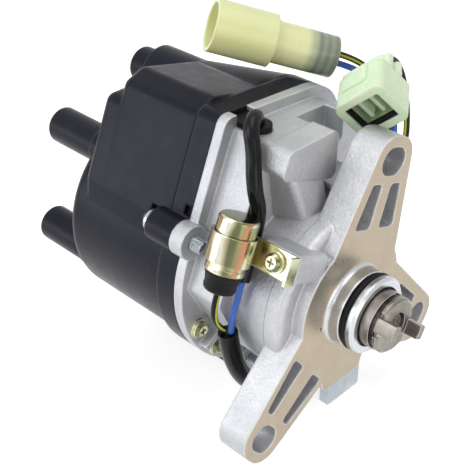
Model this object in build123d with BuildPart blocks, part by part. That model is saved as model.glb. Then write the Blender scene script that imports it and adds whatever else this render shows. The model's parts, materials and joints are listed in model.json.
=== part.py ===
"""Ignition distributor with a moulded cap, a cast housing and a slotted mounting flange.

X is the drive shaft's axis and points to the drive coupling, Z is up.
The origin is the centre of the flange's mounting face on the shaft axis.
"""
import os
from math import asin, atan2, cos, degrees, radians, sin, tan

from build123d import *

os.makedirs("parts", exist_ok=True)

# Clearances, in millimetres
running_clearance = 0.05
bolt_clearance = 0.25
seat_gap = 0.3

# Shaft line
shaft_radius = 5.0
shaft_rear_x = -66.0
shaft_front_x = 18.8
shaft_end_chamfer = 0.6
centre_hole_radius = 1.2
centre_hole_depth = 3.0

# Flange: three ears with curved-travel slots and lightening pockets
flange_thickness = 12.5
hub_radius = 27.0
slot_pitch_radii = (54.2, 58.2, 54.0)
slot_width = 10.5
slot_travel = 3.0
ear_end_radius = 9.3
ear_angles = (70.5, 218.5, 324.5)
ear_web_radii = (23.0, 18.0, 23.0)
ear_rib_widths = (5.5, 8.5, 8.5)
pocket_depth = 8.0
pocket_inner_u = 29.0
pocket_outer_u = (46.0, 49.5, 46.0)
pocket_inner_half = 12.0
pocket_outer_half = 8.6
pocket_corner = 1.6
lobe_left_y = -14.0
lobe_right_y = 8.5
lobe_bottom_z = -34.8
lobe_corner = 3.0

# Spigot, oil seal and front bearing
spigot_radius = 14.9
spigot_length = 12.0
spigot_root_round = 2.0
spigot_chamfer = 1.0
ring_section_radius = 1.3
ring_centre_x = 7.4
ring_stand_out = 0.2
seal_radius = 11.7
seal_width = 7.0
seal_recess = 1.2
seal_wall = 1.8
bearing_radius = 11.0
bearing_width = 6.0
bearing_outer_bore = 9.2
bearing_inner_radius = 7.0
bearing_shield_inset = 0.7
hub_shoulder_radius = 8.6
hub_shoulder_width = 3.0

# Housing casting
joint_x = -47.0
rim_width = 4.0
body_radius = 44.0
corner_radius = 4.5
corner_y, corner_z = -17.5, 61.5
ridge_y, ridge_z = 22.0, 44.5
ridge_outline_radius = 19.0
housing_wall = 3.5
neck_radius = 34.0
neck_front_x = -5.0
neck_front_round = 2.5
panel_inset = 4.3
side_angle = 157.0
side_corner_round = 3.0
top_corner_along = 51.0
low_corner_along = -12.5
mid_corner_along = 40.0
panel_front_x = -27.0
upper_box_front_x = -17.0
upper_box_right_y = 5.0
upper_box_low_z = 46.0
neck_cavity_radius = 28.5
cavity_floor_x = -16.0
box_cavity_front_x = -39.0
box_cavity_low_along = 15.0
recess_width = 16.5
recess_height = 23.0
recess_depth = 8.5
recess_y, recess_z = 14.75, 58.5
rib_ledge_front_x = -12.5
rib_ledge_y, rib_ledge_z = 13.5, 37.0
rib_ledge_width = 17.0
rib_ledge_thickness = 6.0
sleeve_slot_width = 9.0
sleeve_slot_y = -11.0
sleeve_slot_front_x = -32.0
drill_mark_y, drill_mark_z = -16.3, -2.7
drill_mark_radius = 0.9

# Foot boss under the neck and the steel bracket on it
foot_boss_x, foot_boss_y = -22.5, 16.5
foot_boss_length, foot_boss_width = 15.0, 15.0
foot_boss_bottom_z = -36.0
lower_sheet = 1.5
lower_plate_front_x = -13.5
lower_plate_bottom_z = -64.5
lower_plate_left_y = 8.0
lower_plate_right_y = 27.5
lower_fold_rear_x = -18.0

# Cap moulding
cap_rear_x = -112.0
cap_body_radius = 42.0
cap_wall = 4.0
cap_rear_round = 5.0
skirt_width = 10.0
box_rear_x = -105.0
box_top_rear_x = -97.0
box_step_z = 57.0
box_corner = 4.5
box_rear_round = 4.0
box_left_y, box_left_z = -17.8, 60.4
box_bevel_y, box_bevel_z = -12.5, 62.5
box_low_along = 9.5
box_foot_y, box_foot_z = -33.7, 17.0
box_cavity_low_step = 9.0
seam_width = 0.5
seam_depth = 0.6
tower_radius = 7.75
tower_base_radius = 8.15
tower_base_height = 4.0
tower_pitch_radius = 32.0
tower_height = 31.5
tower_end_round = 1.2
tower_angles = (122.5, 212.5, 302.5)
offset_tower_angle = 32.5
socket_radius = 4.6
socket_depth = 20.0
socket_seat_radius = 4.25
socket_seat_depth = 3.0
ridge_boss_radius = 11.5
ridge_boss_height = 12.0
offset_tower_height = 24.0
ridge_cone_x = -102.0
terminal_radius = 3.0
terminal_head_radius = 4.0
terminal_head_width = 2.0
terminal_tip_x = -75.0
post_radius = 6.6
post_end_x = -84.0
centre_post_radius = 7.5
centre_post_end_x = -86.0
link_radius = 1.6
vent_along = 17.0
vent_size = 4.0
vent_depth = 2.4
gasket_inset = 1.2
gasket_width = 1.6
gasket_depth = 2.0

# Brush and its spring
brush_radius = 2.4
brush_length = 13.7
brush_hole_radius = 2.5
brush_hole_end_x = -104.0
brush_stroke = 1.5
spring_radius = 2.2
spring_wall = 0.5

# Rotor
rotor_rear_x = -76.0
rotor_front_x = -52.0
rotor_hub_radius = 9.5
rotor_bore_end_x = -66.5
rotor_arm_thickness = 6.0
rotor_arm_radius = 25.0
rotor_angle = 75.0
blade_thickness = 1.2
blade_width = 6.0
blade_tip_radius = 28.2
contact_radius = 5.0
contact_height = 2.8
set_screw_radius = 1.5
set_screw_x = -58.0

# Inside the housing
shield_radius = 36.0
shield_thickness = 1.2
shield_hole_radius = 11.0
plate_radius = 29.8
plate_thickness = 4.0
plate_front_x = -40.0
plate_hub_radius = 14.0
rear_bearing_front_x = -39.0
reluctor_radius = 16.5
reluctor_width = 3.0
reluctor_hub_radius = 8.0
reluctor_hub_extra = 1.0
crank_reluctor_x = -36.0
cylinder_reluctor_x = -28.0
crank_teeth = 24
cylinder_teeth = 4
tooth_depth = 1.8
pickup_gap = 0.8
pickup_angles = (40.0, 130.0)
pickup_width = 12.0
pickup_inner = 20.0
pickup_outer = 28.0
pickup_rear_x = -38.0
module_angle = 214.0
module_inner = 19.0
module_outer = 24.5
module_width = 22.0
coil_y, coil_z = 0.0, 48.5
coil_width, coil_height = 22.0, 13.0
coil_tilt = -3.5
coil_rear_x = -86.0

# Drive coupling
coupling_rear_x = 11.2
coupling_rear_radius = 11.0
coupling_groove_x = 15.9
coupling_groove_radius = 9.4
coupling_disc_x = 17.6
coupling_disc_radius = 10.75
coupling_front_x = 19.8
disc_chamfer = 1.0
coupling_play = 0.25
lug_tip_x = 25.4
lug_width = 5.2
lug_angle = 152.0
lug_notch = 2.0
lug_inner_radius = 7.6
pin_radius = 1.5
pin_half_length = 9.0
spring_ring_outer = 10.4
spring_ring_slit = 2.0

# Screws
cap_screw_radius = 2.4
cap_screw_angles = (147.0, 258.0, 352.0)
cap_screw_stand_off = 2.3
cap_ear_radius = 6.6
cap_ear_depth = 13.0
housing_ear_width = 6.0
thread_stick_out = 5.0
cap_head_radius = 4.4
cap_head_height = 4.2
cap_washer_radius = 5.2
cap_washer_thickness = 1.2
head_relief = 0.4
head_relief_depth = 6.5
small_screw_radius = 1.95
small_head_radius = 3.3
small_head_height = 2.3
small_screw_length = 7.0
small_washer_radius = 3.9
small_washer_thickness = 0.8
ledge_screw_pitch_radius = 39.3
ledge_screw_angles = (202.5, 226.0)
ledge_screw_depth = 3.5
ledge_rib_height = 4.0

# Condenser and its bracket
boss_x, boss_along = -9.0, 14.6
boss_length, boss_height = 17.0, 10.4
boss_edge_round = 2.0
can_radius = 7.2
can_length = 20.0
can_x = -23.2
can_bottom_along = 5.6
can_edge_round = 1.5
bracket_thickness = 1.0
strap_low_along = 9.6
strap_width = 10.0
strap_gap = 0.05
tab_height = 5.0
boot_length = 7.3
boot_top_radius = 6.7
boot_bottom_radius = 5.6

# Wiring
sleeve_radius = 2.8
lead_radius = 1.2
harness_radius = 3.75

# Round connector
round_start = (-77.7, 6.6, 82.7)
round_direction = (0.597, 0.739, -0.312)
round_big_radius = 10.0
round_big_length = 23.5
round_small_radius = 8.0
round_small_length = 25.0
round_wall = 1.6
round_cavity_depth = 20.0
round_mouth_depth = 8.0
round_seal_length = 11.0

# Square connector
square_face = (-14.3, 22.6, 63.0)
square_outward = (0.55, -0.78, -0.30)
square_across = (0.723, 0.264, 0.639)
square_width = 20.5
square_height = 18.5
square_length = 14.5
square_rear_width = 17.0
square_rear_height = 13.0
square_rear_length = 6.0
square_corner = 3.0
square_wall = 3.0
square_cavity_depth = 12.5
square_divider = 1.4
square_seal_thickness = 1.2


def x_plane(x):
    """Plane square to the shaft at x, with sketch axes along Y and Z."""
    return Plane.YZ.offset(x)


def polar(radius, angle):
    """Point (y, z) at a radius and an angle about the shaft."""
    return radius * cos(radians(angle)), radius * sin(radians(angle))


def rod(radius, x_start, x_end, centre=(0.0, 0.0), mode=Mode.ADD):
    """Add or cut a round bar along X in the part being built."""
    with BuildSketch(x_plane(x_start)) as outline:
        with Locations(centre):
            Circle(radius)
    extrude(outline.sketch, amount=x_end - x_start, mode=mode)


def bore(radius, x_start, x_end, centre=(0.0, 0.0)):
    """Cut a round hole along X in the part being built."""
    rod(radius, x_start, x_end, centre, Mode.SUBTRACT)


def ring(outer, inner, x_start, x_end, mode=Mode.ADD):
    """Add or cut a ring about the shaft in the part being built."""
    with BuildSketch(x_plane(x_start)) as outline:
        Circle(outer)
        Circle(inner, mode=Mode.SUBTRACT)
    extrude(outline.sketch, amount=x_end - x_start, mode=mode)


def hull_bar(circles, x_start, x_end, mode=Mode.ADD):
    """Add or cut a bar along X whose section wraps round circles given as (y, z, radius)."""
    with BuildSketch(x_plane(x_start)) as outline:
        for y, z, radius in circles:
            with Locations((y, z)):
                Circle(radius)
        make_hull()
    extrude(outline.sketch, amount=x_end - x_start, mode=mode)


def radial_block(inner, outer, width, x_start, x_end, angle, mode=Mode.ADD):
    """Add or cut a block that stands out from the shaft at an angle, between two radii."""
    with BuildSketch(x_plane(x_start)) as outline:
        with PolarLocations((inner + outer) / 2, 1, start_angle=angle):
            Rectangle(outer - inner, width)
    extrude(outline.sketch, amount=x_end - x_start, mode=mode)


def side_point(distance, along):
    """Point (y, z) at a distance from the shaft square to the slanted side, and up along it."""
    a = radians(side_angle)
    return distance * cos(a) + along * sin(a), distance * sin(a) - along * cos(a)


def side_plane(x, distance, along):
    """Plane lying on the slanted side: its x runs with the shaft, its normal points outward."""
    y, z = side_point(distance, along)
    a = radians(side_angle)
    return Plane(origin=(x, y, z), x_dir=(1, 0, 0), z_dir=(0, cos(a), sin(a)))


def slope_plane(x, distance, along):
    """Plane square to the slanted side: its x runs with the shaft, its normal up the slope."""
    y, z = side_point(distance, along)
    a = radians(side_angle)
    return Plane(origin=(x, y, z), x_dir=(1, 0, 0), z_dir=(0, sin(a), -cos(a)))


def case_circles(inset=0.0):
    """Circles that the common outline of the housing's rim and the cap's skirt wraps round."""
    return (
        (0, 0, body_radius - inset),
        (ridge_y, ridge_z, ridge_outline_radius - inset),
        (corner_y, corner_z, max(corner_radius - inset, 0.5)),
    )


def case_ring(outer_inset, inner_inset, rear_x, front_x, mode=Mode.ADD):
    """Ring that follows the case's outline between two insets."""
    with BuildSketch(x_plane(rear_x)) as outline:
        for y, z, radius in case_circles(outer_inset):
            with Locations((y, z)):
                Circle(radius)
        make_hull()
        with BuildSketch(mode=Mode.SUBTRACT):
            for y, z, radius in case_circles(inner_inset):
                with Locations((y, z)):
                    Circle(radius)
            make_hull()
    extrude(outline.sketch, amount=front_x - rear_x, mode=mode)


def side_circle(distance, along, inset):
    """Small circle (y, z, radius) whose far corner lies at a distance and a place on the side."""
    return *side_point(distance - inset, along), inset


def circle_edges(builder, radius, x):
    """Circular edges of a builder's part with a radius, lying in the plane at x."""
    edges = builder.edges().filter_by(GeomType.CIRCLE)
    return edges.filter_by(lambda e: abs(e.radius - radius) < 1e-3 and abs(e.arc_center.X - x) < 1e-3)


def add_screw(seat, shank, depth, head, height, washer, washer_height):
    """Add a cross-recessed pan-head screw; the seat plane's normal points out of the hole."""
    with BuildSketch(seat) as outline:
        Circle(shank)
    extrude(outline.sketch, amount=-depth)
    with BuildSketch(seat) as outline:
        Circle(washer)
    extrude(outline.sketch, amount=washer_height)
    with BuildSketch(seat.offset(washer_height)) as outline:
        Circle(head)
    extrude(outline.sketch, amount=height * 0.45)
    with BuildSketch(seat.offset(washer_height + height * 0.45)) as outline:
        Circle(head)
    extrude(outline.sketch, amount=height * 0.55, taper=40)
    with BuildSketch(seat.offset(washer_height + height)) as outline:
        Rectangle(head * 0.9, head * 0.24)
        Rectangle(head * 0.24, head * 0.9)
    extrude(outline.sketch, amount=-height * 0.6, mode=Mode.SUBTRACT)


def cord_tube(points, radius):
    """Add a round tube that follows straight runs joined by tangent arcs."""
    corners = [Vector(*point) for point in points]
    bends = []
    for before, corner, after in zip(corners, corners[1:], corners[2:]):
        first = corner - before
        second = after - corner
        half_turn = radians(first.get_angle(second)) / 2
        bends.append(0.45 * min(first.length, second.length) / tan(half_turn))
    print("bend radii", [round(bend, 1) for bend in bends])
    with BuildLine() as route:
        FilletPolyline(*points, radius=bends)
    with BuildSketch(Plane(origin=points[0], z_dir=corners[1] - corners[0])) as outline:
        Circle(radius)
    sweep(outline.sketch, path=route.wires()[0])


def finish_piece(builder, label):
    """Label a finished piece and write its STEP file."""
    builder.part.label = label
    export_step(builder.part, f"parts/{label}.step")


# Places that several pieces share
rim_front_x = joint_x + rim_width
skirt_rear_x = joint_x - skirt_width
side_distance = body_radius - panel_inset
seal_back_x = spigot_length - seal_recess - seal_width
bearing_front_x = seal_back_x - hub_shoulder_width
ring_centre_radius = spigot_radius + ring_stand_out - ring_section_radius
tower_end_x = cap_rear_x - tower_height
ridge_boss_rear_x = cap_rear_x - ridge_boss_height
offset_tower_end_x = cap_rear_x - offset_tower_height
link_x = cap_rear_x + cap_wall / 2
cap_screw_points = [polar(body_radius + cap_screw_stand_off, angle) for angle in cap_screw_angles]
ledge_screw_points = [polar(ledge_screw_pitch_radius, angle) for angle in ledge_screw_angles]
cap_seat_x = joint_x - cap_ear_depth
ridge_centre = (ridge_y, ridge_z)
can_distance = side_distance + bracket_thickness + can_radius
offset_post = polar(tower_pitch_radius, offset_tower_angle)
panel_top = side_circle(side_distance, top_corner_along - side_corner_round, side_corner_round)
panel_mid = side_circle(side_distance, mid_corner_along + side_corner_round, side_corner_round)
panel_low = side_circle(side_distance, low_corner_along + side_corner_round, side_corner_round)
body_ridge = (ridge_y, ridge_z, ridge_outline_radius - panel_inset)


# Housing: flange, neck and the open case that carries everything else
with BuildPart() as housing:
    rod(neck_radius, rim_front_x, neck_front_x)
    fillet(circle_edges(housing, neck_radius, neck_front_x), neck_front_round)
    rod(hub_radius, -flange_thickness, 0)
    for ear_angle, web_radius, pitch_radius in zip(ear_angles, ear_web_radii, slot_pitch_radii):
        half_turn = degrees(asin(slot_travel / 2 / pitch_radius))
        ends = [polar(pitch_radius, ear_angle + turn) for turn in (-half_turn, half_turn)]
        hull_bar([(0, 0, web_radius)] + [(y, z, ear_end_radius) for y, z in ends], -flange_thickness, 0)
    lobe_z = lobe_bottom_z + lobe_corner
    lobe_circles = (
        (0, 0, ear_web_radii[1]),
        (lobe_left_y + lobe_corner, lobe_z, lobe_corner),
        (lobe_right_y - lobe_corner, lobe_z, lobe_corner),
    )
    hull_bar(lobe_circles, -flange_thickness, 0)
    rod(spigot_radius, 0, spigot_length)
    chamfer(circle_edges(housing, spigot_radius, spigot_length), spigot_chamfer)
    fillet(circle_edges(housing, spigot_radius, 0), spigot_root_round)

    hull_bar(case_circles(), joint_x, rim_front_x)
    hull_bar(((0, 0, neck_radius), body_ridge, panel_top, panel_low), rim_front_x, panel_front_x)
    upper_box = (
        panel_top,
        panel_mid,
        (upper_box_right_y, panel_top[1], side_corner_round),
        (upper_box_right_y, upper_box_low_z, side_corner_round),
    )
    hull_bar(upper_box, panel_front_x, upper_box_front_x)
    for y, z in cap_screw_points:
        rod(cap_ear_radius, joint_x, joint_x + housing_ear_width, (y, z))
    with BuildSketch(side_plane(boss_x, neck_radius * 0.7, boss_along)):
        RectangleRounded(boss_length, boss_height, boss_edge_round)
    extrude(amount=side_distance - neck_radius * 0.7)
    with BuildSketch(Plane.XY.offset(foot_boss_bottom_z)):
        with Locations((foot_boss_x, foot_boss_y)):
            RectangleRounded(foot_boss_length, foot_boss_width, boss_edge_round)
    extrude(amount=-foot_boss_bottom_z / 2)
    with BuildSketch(x_plane(panel_front_x)):
        with Locations((rib_ledge_y, rib_ledge_z)):
            RectangleRounded(rib_ledge_width, rib_ledge_thickness, 1.5)
    extrude(amount=rib_ledge_front_x - panel_front_x)
    ledge_middle = sum(ledge_screw_angles) / len(ledge_screw_angles)
    radial_block(neck_radius - 2, body_radius - 1.5, 2.5, rim_front_x, rim_front_x + ledge_rib_height, ledge_middle)

    bore(neck_cavity_radius, joint_x, cavity_floor_x)
    bore(plate_radius + seat_gap / 2, joint_x, plate_front_x)
    bore(bearing_radius + running_clearance, cavity_floor_x, bearing_front_x)
    bore(hub_shoulder_radius, bearing_front_x, seal_back_x)
    bore(seal_radius + running_clearance, seal_back_x, spigot_length)
    inner_side = side_distance - housing_wall
    box_cavity = (
        (0, 0, neck_cavity_radius - 2),
        (ridge_y, ridge_z, body_ridge[2] - housing_wall),
        side_circle(inner_side, top_corner_along - housing_wall - 1.5, 1.5),
        side_circle(inner_side, box_cavity_low_along, 1.5),
    )
    hull_bar(box_cavity, joint_x, box_cavity_front_x, Mode.SUBTRACT)
    with BuildSketch(x_plane(panel_front_x)):
        with Locations((recess_y, recess_z)):
            RectangleRounded(recess_width, recess_height, 2.5)
    extrude(amount=-recess_depth, mode=Mode.SUBTRACT)
    with BuildSketch(Plane.XY.offset(corner_z - 5)) as slot_outline:
        slot_round_x = sleeve_slot_front_x - sleeve_slot_width / 2
        with Locations(((joint_x + slot_round_x) / 2, sleeve_slot_y)):
            Rectangle(slot_round_x - joint_x, sleeve_slot_width)
        with Locations((slot_round_x, sleeve_slot_y)):
            Circle(sleeve_slot_width / 2)
    extrude(amount=body_radius, mode=Mode.SUBTRACT)
    ring(
        spigot_radius + 1, ring_centre_radius - ring_section_radius,
        ring_centre_x - ring_section_radius - 0.2, ring_centre_x + ring_section_radius + 0.2, Mode.SUBTRACT,
    )
    for ear_angle, rib_width, pitch_radius, outer_u in zip(
        ear_angles, ear_rib_widths, slot_pitch_radii, pocket_outer_u
    ):
        with BuildSketch(x_plane(0)):
            with PolarLocations(pitch_radius, 1, start_angle=ear_angle):
                SlotCenterToCenter(slot_travel, slot_width, rotation=90)
        extrude(amount=-flange_thickness, mode=Mode.SUBTRACT)
        with BuildSketch(x_plane(0)) as pockets:
            with Locations(Location((0, 0, 0), (0, 0, ear_angle))):
                for side in (1, -1):
                    Polygon(
                        (pocket_inner_u, side * rib_width / 2),
                        (pocket_inner_u, side * pocket_inner_half),
                        (outer_u, side * pocket_outer_half),
                        (outer_u, side * rib_width / 2),
                        align=None,
                    )
            fillet(pockets.vertices(), pocket_corner)
        extrude(amount=-pocket_depth, mode=Mode.SUBTRACT)
    bore(drill_mark_radius, -2, 0, (drill_mark_y, drill_mark_z))
    for y, z in cap_screw_points:
        bore(cap_screw_radius + running_clearance, joint_x, joint_x + housing_ear_width, (y, z))
    for y, z in ledge_screw_points:
        bore(small_screw_radius + running_clearance, rim_front_x - ledge_screw_depth - 0.2, rim_front_x, (y, z))
    with BuildSketch(side_plane(boss_x, side_distance, boss_along)):
        Circle(small_screw_radius + running_clearance)
    extrude(amount=-small_screw_length - 0.5, mode=Mode.SUBTRACT)
    with BuildSketch(Plane.XY.offset(foot_boss_bottom_z)):
        with Locations((foot_boss_x, foot_boss_y)):
            Circle(small_screw_radius + running_clearance)
    extrude(amount=small_screw_length + 0.5, mode=Mode.SUBTRACT)
finish_piece(housing, "housing")


# Cap: round body, coil box, ridge and four towers
def cap_box_circles(inset):
    """Outline of the box on the cap's side that covers the ignition coil."""
    return (
        (box_left_y, box_left_z, box_corner - inset),
        (box_bevel_y, box_bevel_z, box_corner - inset),
        side_circle(body_radius - inset, box_low_along, box_corner - inset),
        (box_foot_y, box_foot_z, box_corner - inset),
        (2, 20, 18 - inset),
        (10, 50, ridge_boss_radius - inset),
    )


step_z = box_step_z - box_corner
step_along = (step_z - (body_radius - box_corner) * sin(radians(side_angle))) / -cos(radians(side_angle))
step_circles = (
    side_circle(body_radius, box_low_along, box_corner),
    (box_foot_y, box_foot_z, box_corner),
    side_circle(body_radius, step_along, box_corner),
    (10, step_z, box_corner),
    (2, 20, 18),
)
with BuildPart() as tall_box:
    hull_bar(cap_box_circles(0), box_top_rear_x, skirt_rear_x)
    fillet(tall_box.faces().sort_by(Axis.X)[0].edges(), box_rear_round)
with BuildPart() as long_box:
    hull_bar(step_circles, box_rear_x, skirt_rear_x)
    fillet(long_box.faces().sort_by(Axis.X)[0].edges(), box_rear_round)

with BuildPart() as cap:
    rod(cap_body_radius, cap_rear_x, skirt_rear_x)
    fillet(circle_edges(cap, cap_body_radius, cap_rear_x), cap_rear_round)
    add(tall_box.part)
    add(long_box.part)
    hull_bar(case_circles(), skirt_rear_x, joint_x)
    rod(ridge_boss_radius, ridge_boss_rear_x, skirt_rear_x, ridge_centre)
    with BuildSketch(x_plane(skirt_rear_x)):
        with Locations(ridge_centre):
            Circle(ridge_outline_radius)
    cone_length = skirt_rear_x - ridge_cone_x
    cone_angle = degrees(atan2(ridge_outline_radius - ridge_boss_radius, cone_length))
    extrude(amount=-cone_length, taper=cone_angle)
    link_rib = ((ridge_y, ridge_z, tower_base_radius), (*offset_post, tower_base_radius))
    hull_bar(link_rib, cap_rear_x - 2, cap_rear_x + 2 * cap_wall)
    for tower_angle in tower_angles:
        place = polar(tower_pitch_radius, tower_angle)
        rod(tower_radius, tower_end_x, cap_rear_x, place)
        rod(tower_base_radius, cap_rear_x - tower_base_height, cap_rear_x + cap_wall, place)
    rod(tower_radius, offset_tower_end_x, ridge_boss_rear_x, ridge_centre)
    fillet(circle_edges(cap, tower_radius, tower_end_x), tower_end_round)
    fillet(circle_edges(cap, tower_radius, offset_tower_end_x), tower_end_round)
    for y, z in cap_screw_points:
        rod(cap_ear_radius, cap_seat_x, joint_x, (y, z))

    bore(cap_body_radius - cap_wall, cap_rear_x + cap_wall, joint_x)
    coil_space = list(cap_box_circles(cap_wall))
    coil_space[3] = side_circle(body_radius - cap_wall, box_low_along + box_cavity_low_step, box_corner - cap_wall)
    del coil_space[2]
    hull_bar(coil_space, box_top_rear_x + cap_wall, joint_x, Mode.SUBTRACT)
    hull_bar(case_circles(cap_wall), skirt_rear_x + cap_wall, joint_x, Mode.SUBTRACT)
    for tower_angle in tower_angles + (offset_tower_angle,):
        rod(post_radius, cap_rear_x + 1, post_end_x, polar(tower_pitch_radius, tower_angle))
    rod(centre_post_radius, cap_rear_x + 1, centre_post_end_x)
    bore(brush_hole_radius, brush_hole_end_x, centre_post_end_x)
    case_ring(gasket_inset, gasket_inset + gasket_width, joint_x - gasket_depth, joint_x, Mode.SUBTRACT)
    case_ring(-1, seam_depth, skirt_rear_x, skirt_rear_x + seam_width, Mode.SUBTRACT)
    for tower_angle in tower_angles:
        place = polar(tower_pitch_radius, tower_angle)
        bore(socket_radius, tower_end_x, tower_end_x + socket_depth - socket_seat_depth, place)
        bore(socket_seat_radius, tower_end_x, tower_end_x + socket_depth, place)
        bore(terminal_radius, tower_end_x + socket_depth, post_end_x, place)
    socket_floor = offset_tower_end_x + socket_depth
    bore(socket_radius, offset_tower_end_x, socket_floor - socket_seat_depth, ridge_centre)
    bore(socket_seat_radius, offset_tower_end_x, socket_floor, ridge_centre)
    bore(terminal_radius, socket_floor, link_x + link_radius, ridge_centre)
    bore(terminal_radius, link_x - link_radius, post_end_x, offset_post)
    link_start = Vector(link_x, *ridge_centre)
    link_end = Vector(link_x, *offset_post)
    with BuildSketch(Plane(origin=link_start, z_dir=link_end - link_start)):
        Circle(link_radius)
    extrude(amount=(link_end - link_start).length, mode=Mode.SUBTRACT)
    for y, z in cap_screw_points:
        bore(cap_screw_radius + bolt_clearance, cap_seat_x, joint_x, (y, z))
        bore(cap_washer_radius + head_relief, cap_seat_x - head_relief_depth, cap_seat_x, (y, z))
    with BuildSketch(side_plane(joint_x - vent_size / 2, body_radius + 1, vent_along)):
        Rectangle(vent_size, vent_size)
    extrude(amount=-1 - vent_depth, mode=Mode.SUBTRACT)
finish_piece(cap, "cap")

with BuildPart() as cap_seal:
    case_ring(gasket_inset, gasket_inset + gasket_width, joint_x - gasket_depth, joint_x)
finish_piece(cap_seal, "cap_seal")

for number, (y, z) in enumerate(cap_screw_points, start=1):
    seat = Plane(origin=(cap_seat_x, y, z), x_dir=(0, 1, 0), z_dir=(-1, 0, 0))
    screw_depth = cap_ear_depth + housing_ear_width + thread_stick_out
    with BuildPart() as cap_screw:
        add_screw(seat, cap_screw_radius, screw_depth, cap_head_radius, cap_head_height,
                  cap_washer_radius, cap_washer_thickness)
    finish_piece(cap_screw, f"cap_screw_{number}")

# Terminals in the towers
for number, tower_angle in enumerate(tower_angles, start=1):
    place = polar(tower_pitch_radius, tower_angle)
    with BuildPart() as terminal:
        rod(terminal_radius, tower_end_x + socket_depth, terminal_tip_x, place)
        rod(terminal_head_radius, tower_end_x + socket_depth - terminal_head_width, tower_end_x + socket_depth,
            place)
    finish_piece(terminal, f"tower_terminal_{number}")

with BuildPart() as offset_terminal:
    rod(terminal_head_radius, socket_floor - terminal_head_width, socket_floor, ridge_centre)
    rod(terminal_radius, socket_floor, link_x + link_radius, ridge_centre)
    rod(terminal_radius, link_x - link_radius, terminal_tip_x, offset_post)
    with BuildSketch(Plane(origin=link_start, z_dir=link_end - link_start)):
        Circle(link_radius)
    extrude(amount=(link_end - link_start).length)
finish_piece(offset_terminal, "tower_terminal_4")

# Carbon brush and the spring behind it
contact_rear_x = rotor_rear_x - blade_thickness - contact_height
brush_front_x = contact_rear_x - seat_gap
with BuildPart() as carbon_brush:
    rod(brush_radius, brush_front_x - brush_length, brush_front_x)
finish_piece(carbon_brush, "carbon_brush")

with BuildPart() as brush_spring:
    ring(spring_radius, spring_radius - spring_wall, brush_hole_end_x,
         brush_front_x - brush_length - brush_stroke - running_clearance)
finish_piece(brush_spring, "brush_spring")

# Rotor with its brass blade
with BuildPart() as rotor:
    rod(rotor_hub_radius, rotor_front_x, rotor_rear_x)
    tip_y, tip_z = polar(rotor_arm_radius - blade_width, rotor_angle)
    tail_y, tail_z = polar(-rotor_hub_radius - 2, rotor_angle)
    arm = ((0, 0, rotor_hub_radius), (tip_y, tip_z, blade_width), (tail_y, tail_z, 4))
    hull_bar(arm, rotor_rear_x, rotor_rear_x + rotor_arm_thickness)
    bore(shaft_radius + running_clearance, rotor_bore_end_x, rotor_front_x)
    with BuildSketch(Plane(origin=(set_screw_x, 0, 0), x_dir=(1, 0, 0), z_dir=(0, *polar(1, rotor_angle)))):
        Circle(set_screw_radius + running_clearance)
    extrude(amount=rotor_hub_radius + 1, mode=Mode.SUBTRACT)
finish_piece(rotor, "rotor")

with BuildPart() as rotor_blade:
    radial_block(0, blade_tip_radius, blade_width, rotor_rear_x - blade_thickness, rotor_rear_x, rotor_angle)
    rod(contact_radius, contact_rear_x, rotor_rear_x)
    chamfer(circle_edges(rotor_blade, contact_radius, contact_rear_x), 1.2)
finish_piece(rotor_blade, "rotor_blade")

with BuildPart() as rotor_screw:
    screw_seat = Plane(origin=(set_screw_x, 0, 0), x_dir=(1, 0, 0), z_dir=(0, *polar(1, rotor_angle)))
    with BuildSketch(screw_seat.offset(shaft_radius + running_clearance)):
        Circle(set_screw_radius)
    extrude(amount=rotor_hub_radius - shaft_radius - 0.4)
finish_piece(rotor_screw, "rotor_screw")

# Shaft line
pin_x = (coupling_groove_x + coupling_disc_x) / 2
pin_angle = lug_angle - 90
pin_plane = Plane(origin=(pin_x, 0, 0), x_dir=(1, 0, 0), z_dir=(0, *polar(1, pin_angle)))
with BuildPart() as shaft:
    rod(shaft_radius, shaft_rear_x, shaft_front_x)
    chamfer(shaft.edges().filter_by(GeomType.CIRCLE), shaft_end_chamfer)
    bore(centre_hole_radius, shaft_front_x - centre_hole_depth, shaft_front_x)
    with BuildSketch(pin_plane):
        Circle(pin_radius)
    extrude(amount=2 * shaft_radius, both=True, mode=Mode.SUBTRACT)
finish_piece(shaft, "shaft")

for place, front_x in (("front", bearing_front_x), ("rear", rear_bearing_front_x)):
    with BuildPart() as outer_ring:
        ring(bearing_radius, bearing_outer_bore, front_x - bearing_width, front_x)
    finish_piece(outer_ring, f"{place}_bearing_outer")
    with BuildPart() as inner_ring:
        ring(bearing_inner_radius, shaft_radius + running_clearance / 2, front_x - bearing_width, front_x)
        ring(bearing_outer_bore - 1.6 * running_clearance, bearing_inner_radius - 1,
             front_x - bearing_width + bearing_shield_inset, front_x - bearing_shield_inset)
    finish_piece(inner_ring, f"{place}_bearing_inner")

with BuildPart() as rear_plate:
    rod(plate_radius, plate_front_x - plate_thickness, plate_front_x)
    rod(plate_hub_radius, rear_bearing_front_x - bearing_width, rear_bearing_front_x)
    bore(bearing_radius + running_clearance, rear_bearing_front_x - bearing_width, rear_bearing_front_x)
    with BuildSketch(x_plane(plate_front_x)):
        with PolarLocations(plate_radius - 8, 4, start_angle=module_angle - 45):
            Circle(3.5)
    extrude(amount=-plate_thickness, mode=Mode.SUBTRACT)
finish_piece(rear_plate, "rear_plate")

with BuildPart() as oil_seal:
    seal_front_x = seal_back_x + seal_width
    ring(seal_radius, seal_radius - seal_wall, seal_back_x, seal_front_x)
    ring(seal_radius - seal_wall, shaft_radius + 1.2, seal_front_x - seal_wall, seal_front_x)
    ring(shaft_radius + 1.8, shaft_radius + running_clearance, seal_back_x + 1, seal_front_x)
finish_piece(oil_seal, "oil_seal")

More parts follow.
